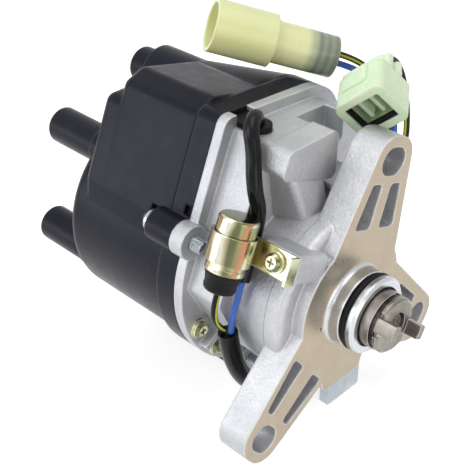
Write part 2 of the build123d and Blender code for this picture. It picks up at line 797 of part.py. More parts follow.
# Signal wheels on the shaft: one with fine teeth, one with a tooth per cylinder
wheels = (
    ("reluctor_crank", crank_reluctor_x, crank_teeth, 0.5),
    ("reluctor_cylinder", cylinder_reluctor_x, cylinder_teeth, 0.7),
)
for label, rear_x, teeth, gap_share in wheels:
    with BuildPart() as wheel:
        rod(reluctor_radius, rear_x, rear_x + reluctor_width)
        pitch = 2 * reluctor_radius * tan(radians(180 / teeth))
        with BuildSketch(x_plane(rear_x)):
            with PolarLocations(reluctor_radius, teeth):
                Rectangle(2 * tooth_depth, pitch * gap_share)
        extrude(amount=reluctor_width, mode=Mode.SUBTRACT)
        rod(reluctor_hub_radius, rear_x - reluctor_hub_extra, rear_x + reluctor_width + reluctor_hub_extra)
        bore(shaft_radius + running_clearance / 2, rear_x - reluctor_hub_extra,
             rear_x + reluctor_width + reluctor_hub_extra)
    finish_piece(wheel, label)

wheel_places = (crank_reluctor_x, cylinder_reluctor_x)
for number, (pickup_angle, wheel_x) in enumerate(zip(pickup_angles, wheel_places), start=1):
    with BuildPart() as pickup:
        radial_block(pickup_inner, pickup_outer - 1.5, pickup_width, pickup_rear_x, cavity_floor_x, pickup_angle)
        radial_block(reluctor_radius + pickup_gap, pickup_inner + 1, 5, wheel_x, wheel_x + reluctor_width,
                     pickup_angle)
    finish_piece(pickup, f"pickup_coil_{number}")

with BuildPart() as ignition_module:
    radial_block(module_inner, module_outer, module_width, pickup_rear_x, cavity_floor_x, module_angle)
finish_piece(ignition_module, "ignition_module")

with BuildPart() as ignition_coil:
    with BuildSketch(x_plane(coil_rear_x)):
        with Locations(Location((coil_y, coil_z, 0), (0, 0, coil_tilt))):
            RectangleRounded(coil_width, coil_height, 2.5)
    extrude(amount=box_cavity_front_x - seat_gap - coil_rear_x)
finish_piece(ignition_coil, "ignition_coil")

with BuildPart() as dust_shield:
    ring(shield_radius, shield_hole_radius, joint_x - shield_thickness, joint_x)
finish_piece(dust_shield, "dust_shield")

# Floating drive coupling on its cross pin
with BuildPart() as coupling:
    rod(coupling_rear_radius, coupling_rear_x, coupling_groove_x)
    rod(coupling_groove_radius, coupling_groove_x, coupling_disc_x)
    rod(coupling_disc_radius, coupling_disc_x, coupling_front_x)
    chamfer(circle_edges(coupling, coupling_disc_radius, coupling_front_x), disc_chamfer)
    with BuildSketch(x_plane(coupling_disc_x)):
        with Locations(Location((0, 0, 0), (0, 0, lug_angle))):
            Rectangle(4 * coupling_disc_radius, lug_width)
        Circle(coupling_disc_radius, mode=Mode.INTERSECT)
    extrude(amount=lug_tip_x - coupling_disc_x)
    bore(lug_inner_radius, coupling_front_x, lug_tip_x)
    bore(shaft_radius + coupling_play + 0.1, coupling_rear_x, coupling_front_x)
    for side in (1, -1):
        for end in (0, 180):
            with BuildSketch(x_plane(coupling_disc_x)):
                with Locations(Location((0, 0, 0), (0, 0, lug_angle + end))):
                    with Locations((coupling_disc_radius, side * (lug_width + lug_notch) / 2)):
                        Rectangle(5, lug_notch)
            extrude(amount=coupling_front_x - coupling_disc_x, mode=Mode.SUBTRACT)
    with BuildSketch(pin_plane):
        Circle(pin_radius + running_clearance)
    extrude(amount=2 * coupling_disc_radius, both=True, mode=Mode.SUBTRACT)
finish_piece(coupling, "coupling")

with BuildPart() as coupling_pin:
    with BuildSketch(pin_plane):
        Circle(pin_radius)
    extrude(amount=pin_half_length, both=True)
finish_piece(coupling_pin, "coupling_pin")

with BuildPart() as coupling_spring_ring:
    ring(spring_ring_outer, coupling_groove_radius + running_clearance, coupling_groove_x + 0.1,
         coupling_disc_x - 0.1)
    radial_block(coupling_groove_radius - 2, spring_ring_outer + 1, spring_ring_slit, coupling_groove_x,
                 coupling_disc_x, lug_angle + 60, Mode.SUBTRACT)
finish_piece(coupling_spring_ring, "coupling_spring_ring")

with BuildPart() as o_ring:
    with BuildSketch(Plane.XY):
        with Locations((ring_centre_x, ring_centre_radius)):
            Circle(ring_section_radius)
    revolve(axis=Axis.X)
finish_piece(o_ring, "o_ring")

# Condenser on the slanted side
with BuildPart() as condenser_can:
    with BuildSketch(slope_plane(can_x, can_distance, can_bottom_along)):
        Circle(can_radius)
    extrude(amount=can_length)
    fillet(condenser_can.edges().filter_by(GeomType.CIRCLE), can_edge_round)
finish_piece(condenser_can, "condenser_can")

strap_middle = strap_low_along + strap_width / 2
tab_x = boss_x + boss_length / 2
with BuildPart() as condenser_bracket:
    with BuildSketch(slope_plane(can_x, can_distance, strap_low_along)):
        Circle(can_radius + bracket_thickness)
        Circle(can_radius + strap_gap, mode=Mode.SUBTRACT)
    extrude(amount=strap_width)
    with BuildSketch(side_plane((can_x + tab_x) / 2, side_distance, strap_middle)):
        Rectangle(tab_x - can_x, strap_width)
    extrude(amount=bracket_thickness - strap_gap)
    with BuildSketch(side_plane(tab_x - bracket_thickness / 2, side_distance, strap_middle)):
        Rectangle(bracket_thickness, strap_width)
    extrude(amount=tab_height)
    with BuildSketch(side_plane(boss_x, side_distance, boss_along)):
        Circle(small_screw_radius + bolt_clearance)
    extrude(amount=bracket_thickness, mode=Mode.SUBTRACT)
finish_piece(condenser_bracket, "condenser_bracket")

with BuildPart() as bracket_screw:
    add_screw(side_plane(boss_x, side_distance + bracket_thickness, boss_along), small_screw_radius,
              small_screw_length, small_head_radius, small_head_height, small_washer_radius,
              small_washer_thickness)
finish_piece(bracket_screw, "bracket_screw")

with BuildPart() as condenser_boot:
    with BuildSketch(slope_plane(can_x, can_distance, can_bottom_along - boot_length)):
        Circle(boot_bottom_radius)
    boot_taper = degrees(atan2(boot_top_radius - boot_bottom_radius, boot_length))
    extrude(amount=boot_length, taper=-boot_taper)
finish_piece(condenser_boot, "condenser_boot")

for number, (y, z) in enumerate(ledge_screw_points, start=1):
    seat = Plane(origin=(rim_front_x, y, z), x_dir=(0, 1, 0), z_dir=(1, 0, 0))
    with BuildPart() as ledge_screw:
        add_screw(seat, small_screw_radius, ledge_screw_depth, small_head_radius, small_head_height,
                  small_washer_radius, small_washer_thickness)
    finish_piece(ledge_screw, f"ledge_screw_{number}")

# Steel bracket under the neck
with BuildPart() as lower_bracket:
    plate_middle_y = (lower_plate_left_y + lower_plate_right_y) / 2
    plate_span_y = lower_plate_right_y - lower_plate_left_y
    plate_top_z = foot_boss_bottom_z
    plate_rear_x = lower_plate_front_x - lower_sheet
    with BuildSketch(x_plane(plate_rear_x)):
        with Locations((plate_middle_y, (plate_top_z + lower_plate_bottom_z) / 2)):
            Rectangle(plate_span_y, plate_top_z - lower_plate_bottom_z)
    extrude(amount=lower_sheet)
    fold_length = plate_rear_x - lower_fold_rear_x
    with BuildSketch(Plane.XZ.offset(-lower_plate_left_y - lower_sheet)):
        with Locations(((lower_fold_rear_x + plate_rear_x) / 2, (plate_top_z + lower_plate_bottom_z) / 2 - 4)):
            Rectangle(fold_length, plate_top_z - lower_plate_bottom_z - 8)
    extrude(amount=lower_sheet)
    foot_rear_x = foot_boss_x - foot_boss_length / 2
    with BuildSketch(Plane.XY.offset(plate_top_z - lower_sheet)):
        with Locations(((foot_rear_x + lower_plate_front_x) / 2, foot_boss_y)):
            Rectangle(lower_plate_front_x - foot_rear_x, foot_boss_width)
        with Locations((foot_boss_x, foot_boss_y)):
            Circle(small_screw_radius + bolt_clearance, mode=Mode.SUBTRACT)
    extrude(amount=lower_sheet)
finish_piece(lower_bracket, "lower_bracket")

with BuildPart() as lower_bracket_screw:
    lower_seat = Plane(origin=(foot_boss_x, foot_boss_y, foot_boss_bottom_z - lower_sheet), x_dir=(1, 0, 0),
                       z_dir=(0, 0, -1))
    add_screw(lower_seat, small_screw_radius, small_screw_length, small_head_radius, small_head_height,
              small_washer_radius, small_washer_thickness)
finish_piece(lower_bracket_screw, "lower_bracket_screw")

# Wiring, each route chosen by hand
over_panel = side_distance + sleeve_radius + 0.8
under_can = side_distance - 2.3
sleeve_points = [
    (-38.0, -10.5, 58.0),
    (-37.6, -11.0, 64.0),
    (-35.5, -14.5, 68.4),
    (-32.3, -20.2, 66.3),
    (-29.3, *side_point(over_panel, 47.0)),
    (-26.3, *side_point(over_panel, 39.0)),
    (-24.6, *side_point(side_distance + 2.0, 33.0)),
    (-23.9, *side_point(under_can, 26.5)),
    (-23.7, *side_point(under_can - 1.1, 14.0)),
    (-22.4, *side_point(under_can + 0.1, 1.5)),
]
with BuildPart() as upper_sleeve:
    cord_tube(sleeve_points, sleeve_radius)
finish_piece(upper_sleeve, "upper_sleeve")

with BuildPart() as sleeve_grommet:
    with BuildSketch(Plane.XY.offset(corner_z - 3)):
        with Locations(((joint_x + slot_round_x) / 2, sleeve_slot_y)):
            Rectangle(slot_round_x - joint_x, sleeve_slot_width - 2 * running_clearance)
        with Locations((slot_round_x, sleeve_slot_y)):
            Circle(sleeve_slot_width / 2 - running_clearance)
    extrude(amount=5)
    first_run = Vector(*sleeve_points[1]) - Vector(*sleeve_points[0])
    with BuildSketch(Plane(origin=sleeve_points[0], z_dir=first_run)):
        Circle(sleeve_radius)
    extrude(amount=2 * first_run.length, both=True, mode=Mode.SUBTRACT)
finish_piece(sleeve_grommet, "sleeve_grommet")

blue_lead_points = [
    (-22.4, *side_point(under_can + 0.2, 1.3)),
    (-22.5, -36.6, 8.0),
    (-23.2, -38.5, 1.0),
    (-23.6, -38.4, -4.9),
]
with BuildPart() as blue_lead:
    cord_tube(blue_lead_points, lead_radius)
finish_piece(blue_lead, "blue_lead")

condenser_lead_points = [
    (can_x, *side_point(can_distance, can_bottom_along - boot_length)),
    (can_x, *side_point(can_distance, can_bottom_along - boot_length - 7)),
    (-25.0, -44.6, 0.6),
    (-26.4, -39.2, -4.6),
]
with BuildPart() as condenser_lead:
    cord_tube(condenser_lead_points, lead_radius)
finish_piece(condenser_lead, "condenser_lead")

harness_points = [
    (-25.0, -38.5, -5.5),
    (-24.5, -36.5, -24.0),
    (-23.5, -21.0, -42.5),
    (-23.0, 2.0, -51.5),
    (-23.0, 26.0, -46.5),
    (-23.0, 43.0, -26.0),
    (-23.0, 50.5, -1.0),
    (-24.0, 50.5, 23.0),
]
with BuildPart() as harness_sleeve:
    cord_tube(harness_points, harness_radius)
finish_piece(harness_sleeve, "harness_sleeve")

# Round connector: a two-step barrel with a seal where its leads go in
round_axis = Vector(*round_direction).normalized()
round_plane = Plane(origin=round_start, z_dir=round_axis)
round_length = round_big_length + round_small_length
with BuildPart() as round_connector:
    with BuildSketch(round_plane):
        Circle(round_big_radius)
    extrude(amount=round_big_length)
    with BuildSketch(round_plane.offset(round_big_length)):
        Circle(round_small_radius)
    extrude(amount=round_small_length)
    with BuildSketch(round_plane):
        Circle(round_big_radius - round_wall)
    extrude(amount=round_cavity_depth, mode=Mode.SUBTRACT)
    with BuildSketch(round_plane.offset(round_mouth_depth)):
        RectangleRounded(11, 8, 1.5)
    extrude(amount=round_cavity_depth - round_mouth_depth + 1)
    with BuildSketch(round_plane.offset(round_length)):
        Circle(round_small_radius - 1)
    extrude(amount=-round_seal_length, mode=Mode.SUBTRACT)
finish_piece(round_connector, "round_connector")

with BuildPart() as round_connector_seal:
    with BuildSketch(round_plane.offset(round_length)):
        Circle(round_small_radius - 1)
    extrude(amount=-round_seal_length)
finish_piece(round_connector_seal, "round_connector_seal")

# Square connector: a socket with two dividers and a seal lip
square_plane = Plane(origin=square_face, x_dir=square_across, z_dir=square_outward)
with BuildPart() as square_connector:
    with BuildSketch(square_plane):
        RectangleRounded(square_width, square_height, square_corner)
    extrude(amount=-square_length)
    with BuildSketch(square_plane.offset(-square_length)):
        RectangleRounded(square_rear_width, square_rear_height, square_corner)
    extrude(amount=-square_rear_length)
    with BuildSketch(square_plane):
        RectangleRounded(square_width - 2 * square_wall, square_height - 2 * square_wall, 1)
    extrude(amount=-square_cavity_depth, mode=Mode.SUBTRACT)
    with BuildSketch(square_plane.offset(-3)):
        for step in (-1, 1):
            with Locations((step * square_width / 8, 1.5)):
                Rectangle(square_divider, square_height - 2 * square_wall - 2)
    extrude(amount=-square_cavity_depth + 3)
finish_piece(square_connector, "square_connector")

with BuildPart() as square_connector_seal:
    inner_width = square_width - 2 * square_wall - 0.6
    inner_height = square_height - 2 * square_wall - 0.6
    with BuildSketch(square_plane.offset(-0.5)):
        with Locations((0, -inner_height / 2 + square_seal_thickness / 2)):
            Rectangle(inner_width, square_seal_thickness)
        with Locations((-inner_width / 2 + square_seal_thickness / 2, 0)):
            Rectangle(square_seal_thickness, inner_height)
    extrude(amount=-2)
finish_piece(square_connector_seal, "square_connector_seal")

# Leads from the connectors down to the harness sleeve
round_end = Vector(*round_start) + round_axis * round_length
square_rear = square_plane.offset(-square_length - square_rear_length).origin
round_turn = round_end + round_axis * 5.5
lift = (Vector(0, 0, 1) - round_axis * round_axis.Z).normalized() * 1.8
across = Vector(*square_across)
inward = -Vector(*square_outward)
square_low = square_rear - across * 2.2
square_high = square_rear + across * 2.2
lead_routes = {
    "round_lead_1": [
        tuple(round_end + lift),
        tuple(round_turn + lift),
        (-40.3, 52.9, 63.1),
        (-36.3, 58.5, 55.0),
        (-32.0, 59.5, 43.0),
        (-28.0, 57.0, 33.3),
        (-25.4, 51.9, 23.6),
    ],
    "round_lead_2": [
        tuple(round_end - lift),
        tuple(round_turn - lift),
        (-41.7, 51.1, 60.9),
        (-37.7, 56.5, 53.0),
        (-32.0, 56.5, 43.0),
        (-28.0, 54.0, 32.7),
        (-25.4, 49.1, 23.6),
    ],
    "square_lead_1": [
        tuple(square_low),
        tuple(square_low + inward * 6),
        (-32.0, 51.5, 66.0),
        (-31.0, 56.0, 56.0),
        (-27.6, 57.0, 43.0),
        (-24.6, 53.0, 32.0),
        (-22.6, 49.1, 23.6),
    ],
    "square_lead_2": [
        tuple(square_high),
        tuple(square_high + inward * 6),
        (-28.2, 54.0, 70.0),
        (-27.2, 59.6, 60.0),
        (-24.4, 60.2, 46.5),
        (-21.2, 56.4, 34.0),
        (-22.6, 51.9, 23.6),
    ],
}
for label, route in lead_routes.items():
    with BuildPart() as lead:
        cord_tube(route, lead_radius)
    finish_piece(lead, label)
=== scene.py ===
"""Dressed model of an ignition distributor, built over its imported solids.

Everything is in metres in the frame of the solids: X runs along the shaft to the drive coupling and
Z is up. Classes stand for sub-assemblies and finishes, and main() builds them in order.
"""

import json
import logging
from dataclasses import dataclass
from enum import Enum
from math import cos, radians, sin, tau

import bmesh
import bpy
from mathutils import Matrix, Vector

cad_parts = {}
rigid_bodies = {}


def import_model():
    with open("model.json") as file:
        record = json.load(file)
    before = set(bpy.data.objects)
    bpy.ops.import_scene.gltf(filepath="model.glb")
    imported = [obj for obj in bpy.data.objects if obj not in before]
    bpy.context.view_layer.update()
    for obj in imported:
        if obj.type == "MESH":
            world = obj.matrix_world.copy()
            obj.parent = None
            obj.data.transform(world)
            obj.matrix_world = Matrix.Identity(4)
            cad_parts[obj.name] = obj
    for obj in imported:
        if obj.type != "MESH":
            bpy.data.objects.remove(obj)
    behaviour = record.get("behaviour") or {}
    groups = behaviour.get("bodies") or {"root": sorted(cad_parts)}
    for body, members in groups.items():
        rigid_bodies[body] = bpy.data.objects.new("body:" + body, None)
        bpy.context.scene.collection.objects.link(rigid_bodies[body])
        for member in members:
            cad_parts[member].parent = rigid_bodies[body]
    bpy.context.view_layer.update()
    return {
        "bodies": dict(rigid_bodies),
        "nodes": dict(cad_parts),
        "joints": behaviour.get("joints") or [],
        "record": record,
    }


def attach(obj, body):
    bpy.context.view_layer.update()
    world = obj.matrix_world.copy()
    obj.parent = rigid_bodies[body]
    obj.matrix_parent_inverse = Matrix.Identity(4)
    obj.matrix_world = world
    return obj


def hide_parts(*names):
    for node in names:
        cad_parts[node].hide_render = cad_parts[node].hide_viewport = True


LOG = logging.getLogger("distributor")
MM = 0.001
ON_AXIS = 1e-7
SIDE_ANGLE = radians(157.0)
CASE_BODY = "case"
WHITE = (1.0, 1.0, 1.0, 1.0)

Colour = tuple[float, float, float, float]
Point = tuple[float, float, float]


class Pattern(Enum):
    """Ways in which a finish lays its two colours."""

    CLOUDS = "clouds"
    STRIPE = "stripe"
    TINT_AND_PAINTED_REFLECTION = "rainbow"
    CAST_AND_CUT = "cast_and_cut"
    SEE_THROUGH = "see_through"


def linear(code: str) -> Colour:
    """Turn a six-digit screen colour into linear light.

    Args:
        code: Six hexadecimal digits, red first.

    Returns:
        Red, green, blue and an alpha of one.
    """
    parts = [int(code[i : i + 2], 16) / 255 for i in (0, 2, 4)]
    light = [p / 12.92 if p <= 0.04045 else ((p + 0.055) / 1.055) ** 2.4 for p in parts]
    return (light[0], light[1], light[2], 1.0)


def side_point(x: float, distance: float, along: float) -> Point:
    """Place a point by the housing's slanted side.

    Args:
        x: Place along the shaft, in millimetres.
        distance: Distance from the shaft square to the side.
        along: Distance up the side.

    Returns:
        The point in millimetres.
    """
    y = distance * cos(SIDE_ANGLE) + along * sin(SIDE_ANGLE)
    z = distance * sin(SIDE_ANGLE) - along * cos(SIDE_ANGLE)
    return (x, y, z)


class Sheet:
    """Short hand for laying shader nodes in one material."""

    def __init__(self, tree: bpy.types.NodeTree) -> None:
        """Keep the node tree that the calls add to."""
        self.tree = tree

    def add(self, kind: str, inputs: dict | None = None, **settings: object) -> bpy.types.Node:
        """Add a node, set its fields and fill or link its sockets.

        Args:
            kind: The node type's name after ShaderNode.
            inputs: Socket name or number to a value, or to another node's output socket.
            **settings: Fields of the node itself.

        Returns:
            The new node.
        """
        node = self.tree.nodes.new("ShaderNode" + kind)
        for key, value in settings.items():
            setattr(node, key, value)
        for key, value in (inputs or {}).items():
            if isinstance(value, bpy.types.NodeSocket):
                self.tree.links.new(value, node.inputs[key])
            else:
                node.inputs[key].default_value = value
        return node

    def maths(self, operation: str, *values: object) -> bpy.types.NodeSocket:
        """Add a maths node.

        Args:
            operation: Blender's name of the operation.
            *values: Numbers or sockets, in order.

        Returns:
            The result's socket.
        """
        return self.add("Math", dict(enumerate(values)), operation=operation).outputs[0]

    def noise(
        self, scale: float, detail: float = 3.0, roughness: float = 0.55
    ) -> bpy.types.NodeSocket:
        """Add noise that lies in the object's own space.

        Args:
            scale: Waves per metre.
            detail: Number of finer layers.
            roughness: Share of the finer layers.

        Returns:
            The noise's value, about 0.5 in the middle.
        """
        inputs = {
            "Vector": self.place(), "Scale": scale, "Detail": detail, "Roughness": roughness,
        }
        return self.add("TexNoise", inputs).outputs["Fac"]

    def _coordinates(self) -> bpy.types.Node:
        """Return the sheet's one coordinates node, made on first use."""
        found = self.tree.nodes.get("place")
        return self.add("TexCoord", name="place") if found is None else found

    def place(self) -> bpy.types.NodeSocket:
        """Return the socket that gives a point's place on the object."""
        return self._coordinates().outputs["Object"]

    def normal(self) -> bpy.types.NodeSocket:
        """Return the socket that gives the way a surface faces."""
        return self._coordinates().outputs["Normal"]

    def parts(self) -> list[bpy.types.NodeSocket]:
        """Return the three sockets that give a point's x, y and z on the object."""
        return list(self.add("SeparateXYZ", {0: self.place()}).outputs)

    def dot(self, first: object, second: object) -> bpy.types.NodeSocket:
        """Multiply two directions, which tells how far they agree.

        Args:
            first: Direction or socket.
            second: Direction or socket.

        Returns:
            The product's socket.
        """
        inputs = {0: first, 1: second}
        return self.add("VectorMath", inputs, operation="DOT_PRODUCT").outputs[1]

    def span(
        self, value: object, low: float, high: float, out_low: float, out_high: float
    ) -> bpy.types.NodeSocket:
        """Map one range onto another, clamped.

        Args:
            value: The socket to map.
            low: Value that gives out_low.
            high: Value that gives out_high.
            out_low: Lower result.
            out_high: Higher result.

        Returns:
            The result's socket.
        """
        inputs = {
            "Value": value, "From Min": low, "From Max": high,
            "To Min": out_low, "To Max": out_high,
        }
        return self.add("MapRange", inputs).outputs[0]

    def mix(self, share: object, first: object, second: object) -> bpy.types.NodeSocket:
        """Mix two colours.

        Args:
            share: Share of the second colour.
            first: Colour or socket.
            second: Colour or socket.

        Returns:
            The mixed colour's socket.
        """
        return self.add("Mix", {0: share, 6: first, 7: second}, data_type="RGBA").outputs[2]

    def blend(self, share: object, first: object, second: object) -> bpy.types.NodeSocket:
        """Mix two numbers.

        Args:
            share: Share of the second number.
            first: Number or socket.
            second: Number or socket.

        Returns:
            The mixed number's socket.
        """
        return self.add("Mix", {0: share, 2: first, 3: second}).outputs[0]

    def seen(self) -> bpy.types.NodeSocket:
        """Tell what the eye sees from the light that only falls on other things.

        Returns:
            One for rays from the camera, through glass or off a mirror, and else zero.
        """
        path = self.add("LightPath").outputs
        direct = self.maths("MAXIMUM", path["Is Camera Ray"], path["Is Transmission Ray"])
        return self.maths("MAXIMUM", direct, path["Is Glossy Ray"])


# Sizes that the finishes share, in metres in the frame of the solids.
CUT_FROM = -0.00006
SPIGOT_FROM = 0.0001
SPIGOT_FULL = 0.0006
PARTING_X = -0.012
PARTING_CORE = 0.00008
PARTING_FADE = 0.0002
NECK_RADIUS = 0.034
NECK_MARGIN = 0.0004
RING_PITCH = 0.0006
RIB_PITCH = 0.0032
SEAL_FADE_BEFORE = 0.003
SEAL_FADE_BEHIND = 0.002
SUBSURFACE_REACH = 0.004

# Tones that the patterns lay over a finish's own two colours.
SPECKLE_TONE = "8f9194"
PARTING_TONE = "6f7073"
# The machined face's warm tan is painted shade and warm reflection, under its turned rings.
FACE_TONES_IN_PAINTED_SHADE = ("b3a795", "a19582")
SPIGOT_TONE = "c3c7cc"
SEAL_TONES = ("515d66", "77857f")

# How strong, wide or smooth those patterns are.
COAT_ROUGHNESS = 0.12
FACE_ROUGHNESS = (0.26, 0.38)
SPIGOT_ROUGHNESS = (0.13, 0.2)
SPECKLE_SCALE = 1300.0
SPECKLE_SHARE = 0.24
PARTING_SHARE = 0.7
RING_SHARE = 0.12
SEAL_SHARE = 0.8
STRIPE_CORE = 0.09
STRIPE_FADE = 0.13
EDGE_SAMPLES = 6
# Noise that breaks up the painted edge highlight.
EDGE_HIGHLIGHT_BREAKUP = 0.06
EDGE_SHARP = 0.86
EDGE_FLAT = 1.02

# Where the plating's tints lie, from surfaces that face against the axis to those along it. Besides
# the plating's own tints the stops hold painted reflection: the silver-white stops are a painted
# highlight and the dark olive stops a painted dark reflection.
ACROSS_CAN = (0.731, 0.628, -0.267)
TINT_AND_REFLECTION_DRIFT = (0.465, 0.535)
TINT_AND_REFLECTION_SHARE = 0.85
TINTS_AND_PAINTED_REFLECTIONS = (
    (0.02, "7d6446"), (0.07, "8f7050"), (0.11, "ccceab"), (0.20, "dedcc0"), (0.29, "f0eadc"),
    (0.36, "b3ae86"), (0.42, "62654a"), (0.55, "566341"), (0.65, "8a7452"), (0.73, "b9745e"),
    (0.79, "a58a5e"), (0.83, "cdd2ae"), (0.92, "d6dab8"), (0.98, "776242"),
)


@dataclass(frozen=True)
class Finish:
    """One surface finish, built as a material from noise, bump and edge nodes."""

    name: str
    colour: str
    shade: str
    roughness: float
    metallic: float = 0.0
    roughness_spread: float = 0.08
    cloud_scale: float = 60.0
    grain_scale: float = 1800.0
    grain_depth: float = 0.00003
    # Lighter colour and strongest share of a painted highlight laid along the edges.
    edge_highlight_colour: str = ""
    edge_highlight_share: float = 0.5
    edge_round: float = 0.0005
    slot: str = ""
    specular: float = 0.5
    coat: float = 0.0
    subsurface: float = 0.0
    pattern: Pattern = Pattern.CLOUDS
    mouth: Point = (0.0, 0.0, 0.0)
    axis: Point = (1.0, 0.0, 0.0)
    seal_from: float = 0.0

    def build(self) -> bpy.types.Material:
        """Make the material.

        Returns:
            The new material, named after the finish.
        """
        material = bpy.data.materials.new(self.name)
        material.use_nodes = True
        sheet = Sheet(material.node_tree)
        shader = material.node_tree.nodes["Principled BSDF"]
        settings = {
            "Specular IOR Level": self.specular,
            "Coat Weight": self.coat,
            "Coat Roughness": COAT_ROUGHNESS,
            "Subsurface Weight": self.subsurface,
            "Subsurface Scale": SUBSURFACE_REACH,
            "Metallic": self.metallic,
        }
        for socket, value in settings.items():
            shader.inputs[socket].default_value = value
        rounding = sheet.add("Bevel", {"Radius": self.edge_round}, samples=EDGE_SAMPLES)
        colour = self._colour(sheet)
        # Painted highlight: the lighter edge colour laid along every edge.
        if self.edge_highlight_colour:
            colour = sheet.mix(self._edge_highlight(sheet, rounding), colour, linear(self.edge_highlight_colour))
        smoothest = max(self.roughness - self.roughness_spread, 0.04)
        roughest = min(self.roughness + self.roughness_spread, 1.0)
        rough = sheet.span(sheet.noise(self.cloud_scale * 5, 5.0), 0.3, 0.7, smoothest, roughest)
        grain = sheet.noise(self.grain_scale, 4.0, 0.65)
        if self.pattern is Pattern.CAST_AND_CUT:
            rough, grain = self._cut_surface(sheet, shader, rough, grain)
        bump = sheet.add("Bump", {
            "Height": grain,
            "Distance": self.grain_depth,
            "Strength": 1.0,
            "Normal": rounding.outputs[0],
        })
        links = material.node_tree.links
        links.new(colour, shader.inputs["Base Color"])
        links.new(rough, shader.inputs["Roughness"])
        links.new(bump.outputs[0], shader.inputs["Normal"])
        return material

    def _colour(self, sheet: Sheet) -> bpy.types.NodeSocket:
        """Lay the finish's two colours in its pattern.

        Args:
            sheet: Where the nodes go.

        Returns:
            The colour's socket.
        """
        clouds = sheet.span(sheet.noise(self.cloud_scale, 5.0), 0.35, 0.65, 0.0, 1.0)
        plain = sheet.mix(clouds, linear(self.colour), linear(self.shade))
        patterns = {
            Pattern.CLOUDS: lambda: plain,
            Pattern.STRIPE: lambda: self._stripe(sheet),
            Pattern.TINT_AND_PAINTED_REFLECTION: lambda: self._tint_and_painted_reflection(sheet, plain),
            Pattern.CAST_AND_CUT: lambda: self._casting(sheet, plain),
            Pattern.SEE_THROUGH: lambda: self._see_through(sheet, plain),
        }
        return patterns[self.pattern]()

    def _stripe(self, sheet: Sheet) -> bpy.types.NodeSocket:
        """Run two thin stripes along a lead, half a turn apart.

        Args:
            sheet: Where the nodes go.

        Returns:
            The colour's socket.
        """
        around = sheet.add("SeparateXYZ", {0: sheet.add("TexCoord").outputs["UV"]}).outputs[1]
        twice = sheet.maths("FRACT", sheet.maths("MULTIPLY", around, 2.0))
        off_line = sheet.maths("ABSOLUTE", sheet.maths("SUBTRACT", twice, 0.5))
        on_line = sheet.span(off_line, STRIPE_CORE, STRIPE_FADE, 1.0, 0.0)
        return sheet.mix(on_line, linear(self.colour), linear(self.shade))

    def _tint_and_painted_reflection(self, sheet: Sheet, plain: bpy.types.NodeSocket) -> bpy.types.NodeSocket:
        """Lay the plating's tint together with painted reflection bands and a painted highlight,
        which turn with the way the surface faces, drifting a little.

        Args:
            sheet: Where the nodes go.
            plain: The two clouded colours.

        Returns:
            The colour's socket.
        """
        # Painted reflection and highlight: the colour follows the way the surface faces.
        facing = sheet.dot(sheet.normal(), self.axis)
        drift = sheet.span(sheet.noise(self.cloud_scale, 0.5), 0.3, 0.7, *TINT_AND_REFLECTION_DRIFT)
        turn = sheet.maths("MULTIPLY_ADD", facing, 0.5, drift)
        tint = sheet.add("ValToRGB", {"Fac": turn}, name="tint")
        ramp = tint.color_ramp
        for element, (position, code) in zip(ramp.elements, (TINTS_AND_PAINTED_REFLECTIONS[0], TINTS_AND_PAINTED_REFLECTIONS[-1])):
            element.position, element.color = position, linear(code)
        for position, code in TINTS_AND_PAINTED_REFLECTIONS[1:-1]:
            ramp.elements.new(position).color = linear(code)
        return sheet.mix(TINT_AND_REFLECTION_SHARE, plain, tint.outputs[0])

    def _casting(self, sheet: Sheet, plain: bpy.types.NodeSocket) -> bpy.types.NodeSocket:
        """Speckle the cast skin, draw its parting line and lay the machined areas over it.

        Args:
            sheet: Where the nodes go.
            plain: The two clouded colours.

        Returns:
            The colour's socket.
        """
        speckle = sheet.span(sheet.noise(SPECKLE_SCALE, 2.0), 0.35, 0.65, 0.0, SPECKLE_SHARE)
        skin = self._parting_line(sheet, sheet.mix(speckle, plain, linear(SPECKLE_TONE)))
        return sheet.mix(self._cut_share(sheet), skin, self._cut_tone(sheet))

    def _see_through(self, sheet: Sheet, plain: bpy.types.NodeSocket) -> bpy.types.NodeSocket:
        """Let the ribbed seal shine through the connector's far end.

        Args:
            sheet: Where the nodes go.
            plain: The two clouded colours.

        Returns:
            The colour's socket.
        """
        inputs = {0: sheet.place(), 1: self.mouth}
        from_mouth = sheet.add("VectorMath", inputs, operation="SUBTRACT").outputs[0]
        along = sheet.dot(from_mouth, self.axis)
        clear_to, full_from = self.seal_from - SEAL_FADE_BEFORE, self.seal_from + SEAL_FADE_BEHIND
        behind = sheet.span(along, clear_to, full_from, 0.0, SEAL_SHARE)
        rib = sheet.maths("SINE", sheet.maths("MULTIPLY", along, tau / RIB_PITCH))
        rib_share = sheet.span(rib, -1.0, 1.0, 0.0, 1.0)
        seal = sheet.mix(rib_share, *map(linear, SEAL_TONES))
        return sheet.mix(behind, plain, seal)

    def _edge_highlight(self, sheet: Sheet, rounding: bpy.types.Node) -> bpy.types.NodeSocket:
        """Find the edges, where the rounded and the flat normals part, to lay a painted highlight
        along them, broken up by noise.

        Args:
            sheet: Where the nodes go.
            rounding: The node that rounds the normals.

        Returns:
            Share of the painted edge highlight at each point.
        """
        flat = sheet.add("NewGeometry").outputs["Normal"]
        match = sheet.dot(rounding.outputs[0], flat)
        highlight_breakup = sheet.maths("MULTIPLY", sheet.noise(400.0, 4.0), EDGE_HIGHLIGHT_BREAKUP)
        level = sheet.maths("ADD", match, highlight_breakup)
        return sheet.span(level, EDGE_SHARP, EDGE_FLAT, self.edge_highlight_share, 0.0)

    def _cut_share(self, sheet: Sheet) -> bpy.types.NodeSocket:
        """Return one in front of the mounting face, where the casting is machined, else zero."""
        return sheet.maths("GREATER_THAN", sheet.parts()[0], CUT_FROM)

